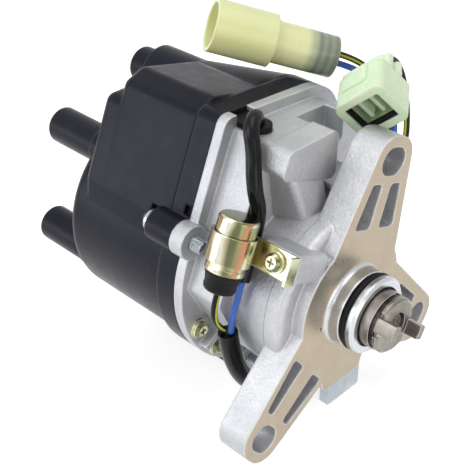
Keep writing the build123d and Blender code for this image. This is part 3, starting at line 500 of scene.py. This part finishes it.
    def _spigot_share(self, sheet: Sheet) -> bpy.types.NodeSocket:
        """Return one on the turned spigot, in front of the machined face, else zero."""
        return sheet.span(sheet.parts()[0], SPIGOT_FROM, SPIGOT_FULL, 0.0, 1.0)

    def _cut_tone(self, sheet: Sheet) -> bpy.types.NodeSocket:
        """Colour the machined areas: fine turned rings on the face in a warm tan of painted shade
        and reflection, brighter on the spigot.

        Args:
            sheet: Where the nodes go.

        Returns:
            The colour's socket.
        """
        _, y, z = sheet.parts()
        squares = sheet.maths("ADD", sheet.maths("MULTIPLY", y, y), sheet.maths("MULTIPLY", z, z))
        radius = sheet.maths("SQRT", squares)
        rings = sheet.maths("SINE", sheet.maths("MULTIPLY", radius, tau / RING_PITCH))
        share = sheet.maths("MULTIPLY_ADD", rings, RING_SHARE, sheet.noise(90.0, 4.0))
        # Painted shade and warm reflection on the machined face.
        face = sheet.mix(share, *map(linear, FACE_TONES_IN_PAINTED_SHADE))
        return sheet.mix(self._spigot_share(sheet), face, linear(SPIGOT_TONE))

    def _parting_line(self, sheet: Sheet, skin: bpy.types.NodeSocket) -> bpy.types.NodeSocket:
        """Draw the hairline that the mould's halves leave round the neck.

        Args:
            sheet: Where the nodes go.
            skin: Colour of the cast skin.

        Returns:
            The skin's colour with the line in it.
        """
        x, y, z = sheet.parts()
        off_line = sheet.maths("ABSOLUTE", sheet.maths("SUBTRACT", x, PARTING_X))
        on_line = sheet.span(off_line, PARTING_CORE, PARTING_FADE, PARTING_SHARE, 0.0)
        across = sheet.add("CombineXYZ", {0: y, 1: z}).outputs[0]
        radius = sheet.add("VectorMath", {0: across}, operation="LENGTH").outputs[1]
        on_neck = sheet.maths("COMPARE", radius, NECK_RADIUS, NECK_MARGIN)
        return sheet.mix(sheet.maths("MULTIPLY", on_line, on_neck), skin, linear(PARTING_TONE))

    def _cut_surface(
        self,
        sheet: Sheet,
        shader: bpy.types.Node,
        rough: bpy.types.NodeSocket,
        grain: bpy.types.NodeSocket,
    ) -> tuple[bpy.types.NodeSocket, bpy.types.NodeSocket]:
        """Make the machined areas smoother and more like bare metal.

        Args:
            sheet: Where the nodes go.
            shader: The material's main shader.
            rough: Roughness of the cast skin.
            grain: Height of the cast skin.

        Returns:
            Roughness and height for the whole casting.
        """
        cut = self._cut_share(sheet)
        metal = sheet.span(cut, 0.0, 1.0, self.metallic, 1.0)
        sheet.tree.links.new(metal, shader.inputs["Metallic"])
        face = sheet.span(sheet.noise(500.0, 3.0), 0.3, 0.7, *FACE_ROUGHNESS)
        spigot = sheet.span(sheet.noise(300.0, 3.0), 0.3, 0.7, *SPIGOT_ROUGHNESS)
        smooth = sheet.blend(self._spigot_share(sheet), face, spigot)
        quiet = sheet.maths("MULTIPLY", sheet.noise(2600.0, 2.0), 0.25)
        return sheet.blend(cut, rough, smooth), sheet.blend(cut, grain, quiet)


CAST = Finish(
    "cast_aluminium", "cdced1", "babcc0", 0.48, metallic=0.72, roughness_spread=0.07,
    cloud_scale=45.0, grain_scale=950.0, grain_depth=0.00028, edge_highlight_colour="ecedf0",
    edge_highlight_share=0.55, edge_round=0.0011, pattern=Pattern.CAST_AND_CUT,
)
MOULDING = Finish(
    "black_moulding", "1e202b", "17181f", 0.30, roughness_spread=0.05, cloud_scale=35.0,
    grain_scale=2600.0, grain_depth=0.000012, edge_highlight_colour="4a4c59", edge_highlight_share=0.7,
    edge_round=0.0015, specular=0.12,
)
DARK_PLASTIC = Finish("dark_plastic", "2a2826", "1f1e1d", 0.5, edge_highlight_colour="403d3a")
RUBBER = Finish(
    "black_rubber", "131314", "0c0c0d", 0.5, cloud_scale=120.0, grain_scale=1400.0,
    grain_depth=0.00002, edge_highlight_colour="1f1f21", edge_round=0.0004, specular=0.18,
)
SLEEVE = Finish(
    "black_sleeve", "0d0e12", "08090b", 0.19, cloud_scale=90.0, grain_scale=300.0,
    grain_depth=0.000012, edge_round=0.0003, specular=0.2,
)
ZINC = Finish(
    "zinc_steel", "c3c9ce", "acb4ba", 0.30, metallic=1.0, cloud_scale=70.0, grain_depth=0.00001,
    edge_highlight_colour="e0e3e6", edge_round=0.0004,
)
# A darker copy of the zinc finish: painted shade over the threaded ends, against which the painted
# edge highlight on crests and roots stands out.
THREAD_ZINC_IN_PAINTED_SHADE = Finish(
    "thread_zinc", "a6acb1", "8a9095", 0.22, metallic=1.0, cloud_scale=70.0, grain_depth=0.00001,
    edge_highlight_colour="d6d9dc", edge_round=0.00006, slot="zinc_steel",
)
YELLOW_ZINC = Finish(
    "yellow_zinc", "c4bd97", "a5a57f", 0.19, metallic=1.0, roughness_spread=0.05,
    cloud_scale=110.0, grain_depth=0.00001, edge_highlight_colour="ece3bf", edge_round=0.0005,
    pattern=Pattern.TINT_AND_PAINTED_REFLECTION, axis=ACROSS_CAN,
)
TURNED = Finish(
    "turned_steel", "a9a6a2", "93908c", 0.26, metallic=1.0, cloud_scale=150.0,
    grain_depth=0.00001, edge_highlight_colour="d5d3d0", edge_round=0.0004,
)
SINTERED = Finish(
    "sintered_steel", "918c85", "7b766f", 0.34, metallic=1.0, roughness_spread=0.08,
    cloud_scale=160.0, grain_scale=2400.0, grain_depth=0.00003, edge_highlight_colour="d8d5d0",
    edge_highlight_share=0.75, edge_round=0.0004,
)
SPRING_STEEL = Finish(
    "spring_steel", "4a4744", "34322f", 0.3, metallic=1.0, edge_highlight_colour="8f8b86", edge_round=0.0003,
)
TERMINAL = Finish("terminal_alloy", "c2b8a0", "a99d80", 0.3, metallic=1.0)
BRASS = Finish("brass", "c9a95e", "a98a45", 0.3, metallic=1.0)
CARBON = Finish("carbon", "26262a", "1b1b1e", 0.6, grain_depth=0.00004)
ROUND_NYLON = Finish(
    "round_connector_nylon", "ecefbd", "e2e79f", 0.22, cloud_scale=30.0, grain_depth=0.000008,
    edge_highlight_colour="f6f8d8", edge_round=0.0009, subsurface=0.3, pattern=Pattern.SEE_THROUGH,
    mouth=(-0.0777, 0.0066, 0.0827), axis=(0.597, 0.739, -0.312), seal_from=0.0385,
)
SQUARE_NYLON = Finish(
    "square_connector_nylon", "e6f7dc", "d8efca", 0.30, cloud_scale=50.0, grain_depth=0.00001,
    edge_highlight_colour="f4fcee", edge_round=0.0009, subsurface=0.35,
)
BLUE_WIRE = Finish(
    "blue_wire", "2f6bd0", "2459b4", 0.34, cloud_scale=200.0, grain_scale=700.0,
    grain_depth=0.00003, coat=0.2,
)
STRIPED_WIRE = Finish(
    "striped_wire", "0c0d10", "cfd23a", 0.32, grain_scale=700.0, grain_depth=0.00002,
    specular=0.2, pattern=Pattern.STRIPE,
)


class Dresser:
    """Builds each finish once and puts it on nodes and pieces."""

    def __init__(self, frame: dict) -> None:
        """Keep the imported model's nodes and an empty shelf of materials."""
        self.nodes: dict[str, bpy.types.Object] = frame["nodes"]
        self.shelf: dict[str, bpy.types.Material] = {}

    def material(self, finish: Finish) -> bpy.types.Material:
        """Find a finish's material, or build it on first use.

        Args:
            finish: The finish.

        Returns:
            Its material.
        """
        if finish.name not in self.shelf:
            self.shelf[finish.name] = finish.build()
        return self.shelf[finish.name]

    def dress(self, finish: Finish, *names: str) -> None:
        """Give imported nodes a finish.

        Args:
            finish: The finish.
            *names: The nodes.
        """
        for name in names:
            node = self.nodes[name]
            node.data.materials.clear()
            node.data.materials.append(self.material(finish))
            LOG.info("node %s: %s", name, finish.name)

    def place(self, piece: bpy.types.Object, finish: Finish, *replaced: str) -> None:
        """Finish a new piece, let it ride on the case and stand for nodes.

        Args:
            piece: The piece.
            finish: Its finish, whose name the material takes.
            *replaced: Nodes that it stands for.
        """
        piece.data.materials.clear()
        piece.data.materials.append(self.material(finish))
        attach(piece, CASE_BODY)
        if replaced:
            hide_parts(*replaced)
        LOG.info("piece %s: %s", piece.name, finish.name)


def mesh_object(name: str, mesh: bmesh.types.BMesh) -> bpy.types.Object:
    """Turn a bmesh into a smooth-shaded object of the scene.

    Args:
        name: Name of the object and its mesh.
        mesh: The mesh, freed here.

    Returns:
        The object.
    """
    bmesh.ops.recalc_face_normals(mesh, faces=mesh.faces)
    data = bpy.data.meshes.new(name)
    mesh.to_mesh(data)
    mesh.free()
    for polygon in data.polygons:
        polygon.use_smooth = True
    made = bpy.data.objects.new(name, data)
    bpy.context.scene.collection.objects.link(made)
    return made


def soften(mesh: bmesh.types.BMesh, width: float, segments: int) -> None:
    """Round all edges of a mesh.

    Args:
        mesh: The mesh.
        width: Width of the rounding, in the mesh's own unit.
        segments: Faces across each rounded edge.
    """
    edges = mesh.edges[:]
    bmesh.ops.bevel(
        mesh, geom=edges, offset=width, segments=segments, profile=0.5, affect="EDGES"
    )


def axis_frame(origin: Vector, axis: Vector) -> Matrix:
    """Build the matrix whose Z runs along an axis.

    Args:
        origin: Where the frame stands.
        axis: Its Z direction.

    Returns:
        The matrix.
    """
    turn = axis.normalized().to_track_quat("Z", "Y")
    return Matrix.Translation(origin) @ turn.to_matrix().to_4x4()


def lathe(
    name: str, profile: list[tuple[float, float]], origin: Vector, axis: Vector, steps: int
) -> bpy.types.Object:
    """Turn a profile about an axis.

    Args:
        name: Name of the piece.
        profile: Pairs of radius and height along the axis, in metres.
        origin: Where height zero is.
        axis: Direction of the axis.
        steps: Number of steps round.

    Returns:
        The turned piece.
    """
    mesh = bmesh.new()
    frame = axis_frame(origin, axis)
    rings = []
    for radius, height in profile:
        turns = [tau * i / steps for i in range(steps if radius > ON_AXIS else 1)]
        points = [Vector((radius * cos(t), radius * sin(t), height)) for t in turns]
        rings.append([mesh.verts.new(frame @ point) for point in points])
    for low, high in zip(rings, rings[1:]):
        for i in range(steps):
            j = i + 1
            corners = [
                low[i % len(low)], low[j % len(low)], high[j % len(high)], high[i % len(high)],
            ]
            kept = [corner for n, corner in enumerate(corners) if corner not in corners[:n]]
            if len(kept) > 2:
                mesh.faces.new(kept)
    return mesh_object(name, mesh)


def rounded(profile: list[tuple[float, float, float]], steps: int = 5) -> list[tuple[float, float]]:
    """Round the corners of a turned profile.

    Args:
        profile: Radius, height and corner rounding, in millimetres.
        steps: Points on each rounded corner.

    Returns:
        Pairs of radius and height, in metres.
    """
    points: list[tuple[float, float]] = []
    for n, (radius, height, corner) in enumerate(profile):
        here = Vector((radius, height))
        if corner <= 0 or n in (0, len(profile) - 1):
            points.append((radius * MM, height * MM))
            continue
        back = (Vector(profile[n - 1][:2]) - here).normalized() * corner
        on = (Vector(profile[n + 1][:2]) - here).normalized() * corner
        for i in range(steps + 1):
            t = i / steps
            spot = here + back * (1 - t) ** 2 + on * t**2
            points.append((spot.x * MM, spot.y * MM))
    return points


@dataclass
class Route:
    """A lead or sleeve: its control points, size and what is at its end."""

    name: str
    points: list[Point]
    radius: float
    finish: Finish
    length: float = 0.0
    far_end: str = "object"
    with_pieces: tuple[str, ...] = ()
    tilt: float = 0.0

    def build(self, dresser: Dresser) -> None:
        """Args:
            dresser: Gives the finish.
        """
        curve = bpy.data.curves.new(self.name + "_cover", "CURVE")
        curve.dimensions = "3D"
        curve.bevel_depth = self.radius * MM
        curve.bevel_resolution = 6
        curve.use_fill_caps = True
        curve.resolution_u = 16
        spline = curve.splines.new("NURBS")
        spline.points.add(len(self.points) - 1)
        for point, place in zip(spline.points, self.points):
            point.co = (place[0] * MM, place[1] * MM, place[2] * MM, 1.0)
            point.tilt = self.tilt
        spline.order_u = 3
        spline.use_endpoint_u = True
        made = bpy.data.objects.new(self.name + "_cover", curve)
        bpy.context.scene.collection.objects.link(made)
        dresser.place(made, self.finish, self.name)


@dataclass
class Wiring:
    """Sleeves and leads from the housing to the two connectors."""

    sleeve_radius: float = 2.8
    lead_radius: float = 1.2
    harness_radius: float = 3.75

    def held_routes(self) -> list[Route]:
        """List the sleeve and leads round the condenser.

        Returns:
            The routes.
        """
        sleeve = [
            (-38.0, -10.5, 58.0), (-37.6, -11.0, 64.0), (-35.5, -14.5, 68.4), (-32.3, -20.2, 66.3),
            side_point(-29.3, 43.3, 47.0), side_point(-26.3, 43.3, 39.0),
            side_point(-24.6, 41.7, 33.0), side_point(-23.9, 37.4, 26.5),
            side_point(-23.7, 36.3, 14.0), side_point(-22.4, 37.5, 1.5),
        ]
        blue = [
            side_point(-22.4, 37.6, 1.3), (-22.5, -36.6, 8.0), (-23.2, -38.5, 1.0),
            (-23.6, -38.4, -4.9),
        ]
        striped = [
            side_point(-23.2, 47.9, -1.7), side_point(-23.2, 47.9, -8.7), (-25.0, -44.6, 0.6),
            (-26.4, -39.2, -4.6),
        ]
        harness = [
            (-25.0, -38.5, -5.5), (-24.5, -36.5, -24.0), (-23.5, -21.0, -42.5), (-23.0, 2.0, -51.5),
            (-23.0, 26.0, -46.5), (-23.0, 43.0, -26.0), (-23.0, 50.5, -1.0), (-24.0, 50.5, 23.0),
        ]
        thick, thin = self.harness_radius, self.lead_radius
        return [
            Route("upper_sleeve", sleeve, self.sleeve_radius, SLEEVE, length=72.0),
            Route("blue_lead", blue, thin, BLUE_WIRE),
            Route("condenser_lead", striped, thin, STRIPED_WIRE, tilt=1.2),
            Route("harness_sleeve", harness, thick, SLEEVE, length=165.2, far_end="bare"),
        ]

    def plug_routes(self) -> list[Route]:
        """List the leads between the harness and the connectors, from the harness on.

        Returns:
            The routes.
        """
        round_first = [
            (-25.4, 51.9, 23.6), (-28.0, 57.0, 33.3), (-32.0, 59.5, 43.0), (-36.3, 58.5, 55.0),
            (-40.3, 52.9, 63.1), (-45.11, 46.95, 67.56), (-48.39, 42.88, 69.28),
        ]
        round_second = [
            (-25.4, 49.1, 23.6), (-28.0, 54.0, 32.7), (-32.0, 56.5, 43.0), (-37.7, 56.5, 53.0),
            (-41.7, 51.1, 60.9), (-45.81, 46.07, 64.14), (-49.1, 42.01, 65.86),
        ]
        square_first = [
            (-22.6, 49.1, 23.6), (-24.6, 53.0, 32.0), (-27.6, 57.0, 43.0), (-31.0, 56.0, 56.0),
            (-32.0, 51.5, 66.0), (-30.46, 42.68, 69.54), (-27.16, 38.0, 67.74),
        ]
        square_second = [
            (-22.6, 51.9, 23.6), (-21.2, 56.4, 34.0), (-24.4, 60.2, 46.5), (-27.2, 59.6, 60.0),
            (-28.2, 54.0, 70.0), (-27.28, 43.84, 72.35), (-23.98, 39.16, 70.55),
        ]
        round_end = ("round_connector", "round_connector_seal")
        square_end = ("square_connector", "square_connector_seal")
        rows = [
            ("round_lead_1", round_first, STRIPED_WIRE, 59.3, round_end),
            ("round_lead_2", round_second, BLUE_WIRE, 56.1, round_end),
            ("square_lead_1", square_first, BLUE_WIRE, 60.2, square_end),
            ("square_lead_2", square_second, STRIPED_WIRE, 64.9, square_end),
        ]
        return [
            Route(name, points, self.lead_radius, finish, length, "connector", ends)
            for name, points, finish, length, ends in rows
        ]

    def build(self, dresser: Dresser) -> None:
        """Lay every route and finish the pieces that the leads meet.

        Args:
            dresser: Gives the finishes.
        """
        for route in self.held_routes() + self.plug_routes():
            route.build(dresser)
        dresser.dress(ROUND_NYLON, "round_connector")
        dresser.dress(SQUARE_NYLON, "square_connector")
        dresser.dress(RUBBER, "round_connector_seal", "square_connector_seal", "sleeve_grommet")


@dataclass
class SquareConnectorTrim:
    """Raised pad and two catches on the back half of the square connector."""

    face: Point = (-14.3, 22.6, 63.0)
    outward: Point = (0.55, -0.78, -0.30)
    across: Point = (0.723, 0.264, 0.639)
    pad_size: Point = (11.0, 2.4, 8.6)
    pad_middle: Point = (-1.0, 9.1, -10.6)
    pad_round: float = 0.7
    catch_radius: float = 1.7
    catch_length: float = 6.4
    catches: tuple[Point, ...] = ((8.6, 3.4, -21.2), (8.6, -1.6, -21.2))

    def frame(self) -> Matrix:
        """Stand a frame on the connector's back half.

        Returns:
            The matrix from the connector's own axes, in millimetres, to the scene.
        """
        outward = Vector(self.outward).normalized()
        across = Vector(self.across).normalized()
        up = outward.cross(across)
        turn = Matrix((across, up, outward)).transposed().to_4x4()
        return Matrix.Translation(Vector(self.face) * MM) @ turn @ Matrix.Scale(MM, 4)

    def pad(self) -> bpy.types.Object:
        """Raise the pad, with soft edges, out of the upper side.

        Returns:
            The pad.
        """
        mesh = bmesh.new()
        bmesh.ops.create_cube(mesh, size=1.0)
        bmesh.ops.scale(mesh, vec=self.pad_size, verts=mesh.verts)
        soften(mesh, self.pad_round, 4)
        bmesh.ops.translate(mesh, vec=self.pad_middle, verts=mesh.verts)
        bmesh.ops.transform(mesh, matrix=self.frame(), verts=mesh.verts)
        return mesh_object("square_connector_pad", mesh)

    def build(self, dresser: Dresser) -> None:
        """Build the pad and both catches.

        Args:
            dresser: Gives the finish.
        """
        dresser.place(self.pad(), SQUARE_NYLON)
        r, length = self.catch_radius, self.catch_length
        profile = [(0.0, 0.0, 0), (r, 0.0, 0.5), (r, length, 0.9), (0.0, length, 0)]
        for number, spot in enumerate(self.catches, start=1):
            name = f"square_connector_catch_{number}"
            foot = self.frame() @ Vector(spot)
            made = lathe(name, rounded(profile), foot, Vector(self.outward), 32)
            dresser.place(made, SQUARE_NYLON)


@dataclass
class Condenser:
    """Condenser can with its strap, boot and screw on the slanted side."""

    x: float = -23.2
    distance: float = 47.9
    bottom_along: float = 5.6
    can_radius: float = 7.2
    can_length: float = 20.0
    boot_length: float = 7.3
    boot_top_radius: float = 6.7
    boot_bottom_radius: float = 5.6

    def axis(self) -> Vector:
        """Return the direction from the boot to the can's closed end."""
        return Vector((0.0, sin(SIDE_ANGLE), -cos(SIDE_ANGLE)))

    def spot(self, along: float) -> Vector:
        """Return the point on the can's axis at a height along the side, in metres."""
        return Vector(side_point(self.x, self.distance, along)) * MM

    def can(self) -> bpy.types.Object:
        """Turn the can with a rolled foot and a rounded crown.

        Returns:
            The can.
        """
        r, length = self.can_radius, self.can_length
        profile = [
            (0.0, 0.0, 0), (r - 1.0, 0.0, 0.3), (r, 0.0, 0.6), (r, 1.9, 0.3), (r - 0.35, 2.3, 0.3),
            (r - 0.35, 2.9, 0.3), (r, 3.3, 0.3), (r, length - 0.9, 0.5), (r - 0.5, length, 0.5),
            (0.0, length, 0),
        ]
        foot = self.spot(self.bottom_along)
        return lathe("condenser_can_shell", rounded(profile), foot, self.axis(), 72)

    def boot(self) -> bpy.types.Object:
        """Turn the rubber boot under the can, with a lip and a ring.

        Returns:
            The boot.
        """
        top, low, length = self.boot_top_radius, self.boot_bottom_radius, self.boot_length
        profile = [
            (0.0, 0.0, 0), (low - 0.6, 0.0, 0.4), (low, 0.6, 0.4), (low + 0.35, 2.2, 0.3),
            (low + 0.1, 2.6, 0.2), (low + 0.7, length - 1.6, 0.3), (top - 0.1, length - 1.2, 0.3),
            (top, length - 0.3, 0.2), (top, length, 0.1), (0.0, length, 0),
        ]
        foot = self.spot(self.bottom_along - self.boot_length)
        return lathe("condenser_boot_skin", rounded(profile), foot, self.axis(), 56)

    def build(self, dresser: Dresser) -> None:
        """Build the can and boot and finish the strap and the plated screws.

        Args:
            dresser: Gives the finishes.
        """
        dresser.place(self.can(), YELLOW_ZINC, "condenser_can")
        dresser.place(self.boot(), RUBBER, "condenser_boot")
        dresser.dress(YELLOW_ZINC, "condenser_bracket", "bracket_screw")
        dresser.dress(YELLOW_ZINC, "ledge_screw_1", "ledge_screw_2")


@dataclass
class CapScrews:
    """Threaded ends of the cap's screws, which stand out in front of the housing's ears."""

    pitch_radius: float = 46.3
    angles: tuple[float, ...] = (147.0, 258.0, 352.0)
    start_x: float = -41.0
    length: float = 5.0
    crest: float = 2.92
    root: float = 2.42
    pitch: float = 1.1
    stand_out: float = 0.05
    run_out: float = 0.6
    rows_per_turn: int = 8
    steps: int = 40

    def thread(self, number: int, angle: float) -> bpy.types.Object:
        """Cut a thread as one winding surface over a shank's free end.

        Args:
            number: Number of the screw.
            angle: Its angle about the shaft, in degrees.

        Returns:
            The threaded end.
        """
        rows = int(self.length / self.pitch * self.rows_per_turn)
        y = self.pitch_radius * cos(radians(angle))
        z = self.pitch_radius * sin(radians(angle))
        mesh = bmesh.new()
        rings = []
        for row in range(rows + 1):
            x = (self.length + self.stand_out) * row / rows
            fade = min(1.0, (self.length - x) / self.run_out)
            ring = []
            for i in range(self.steps):
                wave = abs(((x / self.pitch + i / self.steps) % 1.0) * 2 - 1)
                radius = self.root + (self.crest - self.root) * wave * fade
                turn = tau * i / self.steps
                ring.append(mesh.verts.new((
                    (self.start_x + x) * MM,
                    (y + radius * cos(turn)) * MM,
                    (z + radius * sin(turn)) * MM,
                )))
            rings.append(ring)
        for low, high in zip(rings, rings[1:]):
            for i in range(self.steps):
                j = (i + 1) % self.steps
                mesh.faces.new((low[i], low[j], high[j], high[i]))
        mesh.faces.new(rings[-1])
        return mesh_object(f"cap_screw_{number}_thread", mesh)

    def build(self, dresser: Dresser) -> None:
        """Thread the three ends and finish the screws.

        Args:
            dresser: Gives the finishes.
        """
        for number, angle in enumerate(self.angles, start=1):
            dresser.place(self.thread(number, angle), THREAD_ZINC_IN_PAINTED_SHADE)
        dresser.dress(ZINC, "cap_screw_1", "cap_screw_2", "cap_screw_3")


@dataclass
class Casing:
    """Housing, cap and the plain pieces fixed to them."""

    web_top: tuple[Point, ...] = (
        (-28.0, -17.0, 54.0), (-18.6, -15.5, 53.5), (-18.6, 3.0, 47.5), (-28.0, 3.0, 47.5),
    )
    web_foot: tuple[Point, ...] = (
        (-28.0, -14.0, 30.0), (-15.5, -9.5, 31.0), (-12.5, 1.0, 32.3), (-28.0, 2.0, 32.0),
    )
    web_round: float = 2.2

    def web(self) -> bpy.types.Object:
        """Build the cast web that slopes from the upper box down to the neck.

        Returns:
            The web, sunk into the housing at both ends.
        """
        mesh = bmesh.new()
        top = [mesh.verts.new(Vector(corner) * MM) for corner in self.web_top]
        foot = [mesh.verts.new(Vector(corner) * MM) for corner in self.web_foot]
        mesh.faces.new(top)
        mesh.faces.new(foot[::-1])
        for i in range(4):
            j = (i + 1) % 4
            mesh.faces.new((top[i], foot[i], foot[j], top[j]))
        soften(mesh, self.web_round * MM, 5)
        made = mesh_object("upper_web", mesh)
        made.modifiers.new("even_shade", "WEIGHTED_NORMAL")
        return made

    def build(self, dresser: Dresser) -> None:
        """Finish the castings, mouldings and what is inside them.

        Args:
            dresser: Gives the finishes.
        """
        dresser.dress(CAST, "housing")
        dresser.place(self.web(), CAST)
        dresser.dress(MOULDING, "cap")
        dresser.dress(RUBBER, "cap_seal", "o_ring", "oil_seal")
        dresser.dress(ZINC, "lower_bracket", "lower_bracket_screw")
        dresser.dress(TERMINAL, *(f"tower_terminal_{n}" for n in range(1, 5)))
        dresser.dress(DARK_PLASTIC, "ignition_coil", "ignition_module", "dust_shield")
        dresser.dress(DARK_PLASTIC, "pickup_coil_1", "pickup_coil_2")
        dresser.dress(TURNED, "front_bearing_outer", "rear_bearing_outer", "brush_spring")
        dresser.dress(SINTERED, "rear_plate")


class ShaftLine:
    """The turning pieces: shaft, signal wheels, rotor and drive coupling."""

    def build(self, dresser: Dresser) -> None:
        """Finish the turning pieces and the brush.

        Args:
            dresser: Gives the finishes.
        """
        dresser.dress(TURNED, "shaft", "coupling_pin", "rotor_screw")
        dresser.dress(TURNED, "front_bearing_inner", "rear_bearing_inner")
        dresser.dress(SINTERED, "reluctor_crank", "reluctor_cylinder", "coupling")
        dresser.dress(SPRING_STEEL, "coupling_spring_ring")
        dresser.dress(DARK_PLASTIC, "rotor")
        dresser.dress(BRASS, "rotor_blade")
        dresser.dress(CARBON, "carbon_brush")


@dataclass(frozen=True)
class Lamp:
    """A square soft lamp: where it hangs, its side, its power in watts and its colour."""

    name: str
    place: Point
    size: float
    power: float
    tint: str = "ffffff"


@dataclass
class Studio:
    """Camera, lamps, world and floor."""

    lamps: tuple[Lamp, ...] = (
        Lamp("key_lamp", (-0.35, -1.05, 0.85), 0.9, 6.2),
        Lamp("side_lamp", (-0.80, -1.00, 0.12), 0.6, 3.4, "f2f6ff"),
        Lamp("top_lamp", (0.05, 0.1, 1.2), 0.9, 5.2),
        Lamp("front_lamp", (1.0, -0.35, 0.25), 0.6, 2.2, "fff1e2"),
    )
    camera_place: Point = (0.1710, -0.2363, 0.2210)
    camera_turn: Point = (56.55, 0.0, 44.39)
    lens: float = 77.42
    floor_height: float = -0.0655
    floor_half_side: float = 3.0
    floor_tones: tuple[str, str] = ("f2f2f2", "ececec")
    floor_glow: float = 0.6
    world_light: float = 0.4
    target: Point = (-0.03, 0.0, 0.01)

    def camera(self) -> None:
        """Make the camera at the photograph's viewing angle."""
        data = bpy.data.cameras.new("camera")
        data.lens = self.lens
        data.sensor_width = 36.0
        data.clip_start, data.clip_end = 0.01, 20.0
        made = bpy.data.objects.new("camera", data)
        made.location = self.camera_place
        made.rotation_euler = [radians(c) for c in self.camera_turn]
        bpy.context.scene.collection.objects.link(made)
        bpy.context.scene.camera = made

    def hang(self, lamp: Lamp) -> None:
        """Hang a lamp so that it faces the part.

        Args:
            lamp: The lamp.
        """
        data = bpy.data.lights.new(lamp.name, "AREA")
        data.shape, data.size, data.energy = "SQUARE", lamp.size, lamp.power
        data.color = linear(lamp.tint)[:3]
        made = bpy.data.objects.new(lamp.name, data)
        made.location = lamp.place
        aim = Vector(self.target) - Vector(lamp.place)
        made.rotation_euler = aim.to_track_quat("-Z", "Y").to_euler()
        bpy.context.scene.collection.objects.link(made)

    def world(self) -> None:
        """Light from all round: white to the camera and in reflections, dimmer on the part."""
        world = bpy.data.worlds.new("studio")
        bpy.context.scene.world = world
        world.use_nodes = True
        sheet = Sheet(world.node_tree)
        strength = sheet.span(sheet.seen(), 0.0, 1.0, self.world_light, 1.0)
        back = world.node_tree.nodes["Background"]
        back.inputs["Color"].default_value = WHITE
        world.node_tree.links.new(strength, back.inputs["Strength"])

    def floor(self) -> None:
        """Lay a pale floor that keeps the part's soft shadow."""
        mesh = bmesh.new()
        bmesh.ops.create_grid(mesh, x_segments=8, y_segments=8, size=self.floor_half_side)
        bmesh.ops.translate(mesh, verts=mesh.verts, vec=(0, 0, self.floor_height))
        made = mesh_object("floor", mesh)
        material = bpy.data.materials.new("pale_floor")
        material.use_nodes = True
        sheet = Sheet(material.node_tree)
        shader = material.node_tree.nodes["Principled BSDF"]
        tone = sheet.mix(sheet.noise(3.0), *map(linear, self.floor_tones))
        material.node_tree.links.new(tone, shader.inputs["Base Color"])
        shader.inputs["Roughness"].default_value = 0.9
        shader.inputs["Specular IOR Level"].default_value = 0.1
        strength = sheet.maths("MULTIPLY", sheet.seen(), self.floor_glow)
        glow = sheet.add("Emission", {"Color": WHITE, "Strength": strength})
        both = sheet.add("AddShader", {0: shader.outputs[0], 1: glow.outputs[0]})
        surface = material.node_tree.nodes["Material Output"].inputs[0]
        material.node_tree.links.new(both.outputs[0], surface)
        made.data.materials.append(material)

    def build(self) -> None:
        """Set up the whole studio."""
        bpy.context.scene.view_settings.view_transform = "Standard"
        self.camera()
        self.world()
        for lamp in self.lamps:
            self.hang(lamp)
        self.floor()
        LOG.info("studio: camera, %d lamps, world and floor", len(self.lamps))


def main() -> None:
    """Load the frame, dress the part and light it."""
    logging.basicConfig(level=logging.INFO, format="%(name)s: %(message)s")
    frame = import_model()
    Studio().build()
    dresser = Dresser(frame)
    Wiring().build(dresser)
    SquareConnectorTrim().build(dresser)
    Casing().build(dresser)
    Condenser().build(dresser)
    CapScrews().build(dresser)
    ShaftLine().build(dresser)


if __name__ == "__main__":
    main()
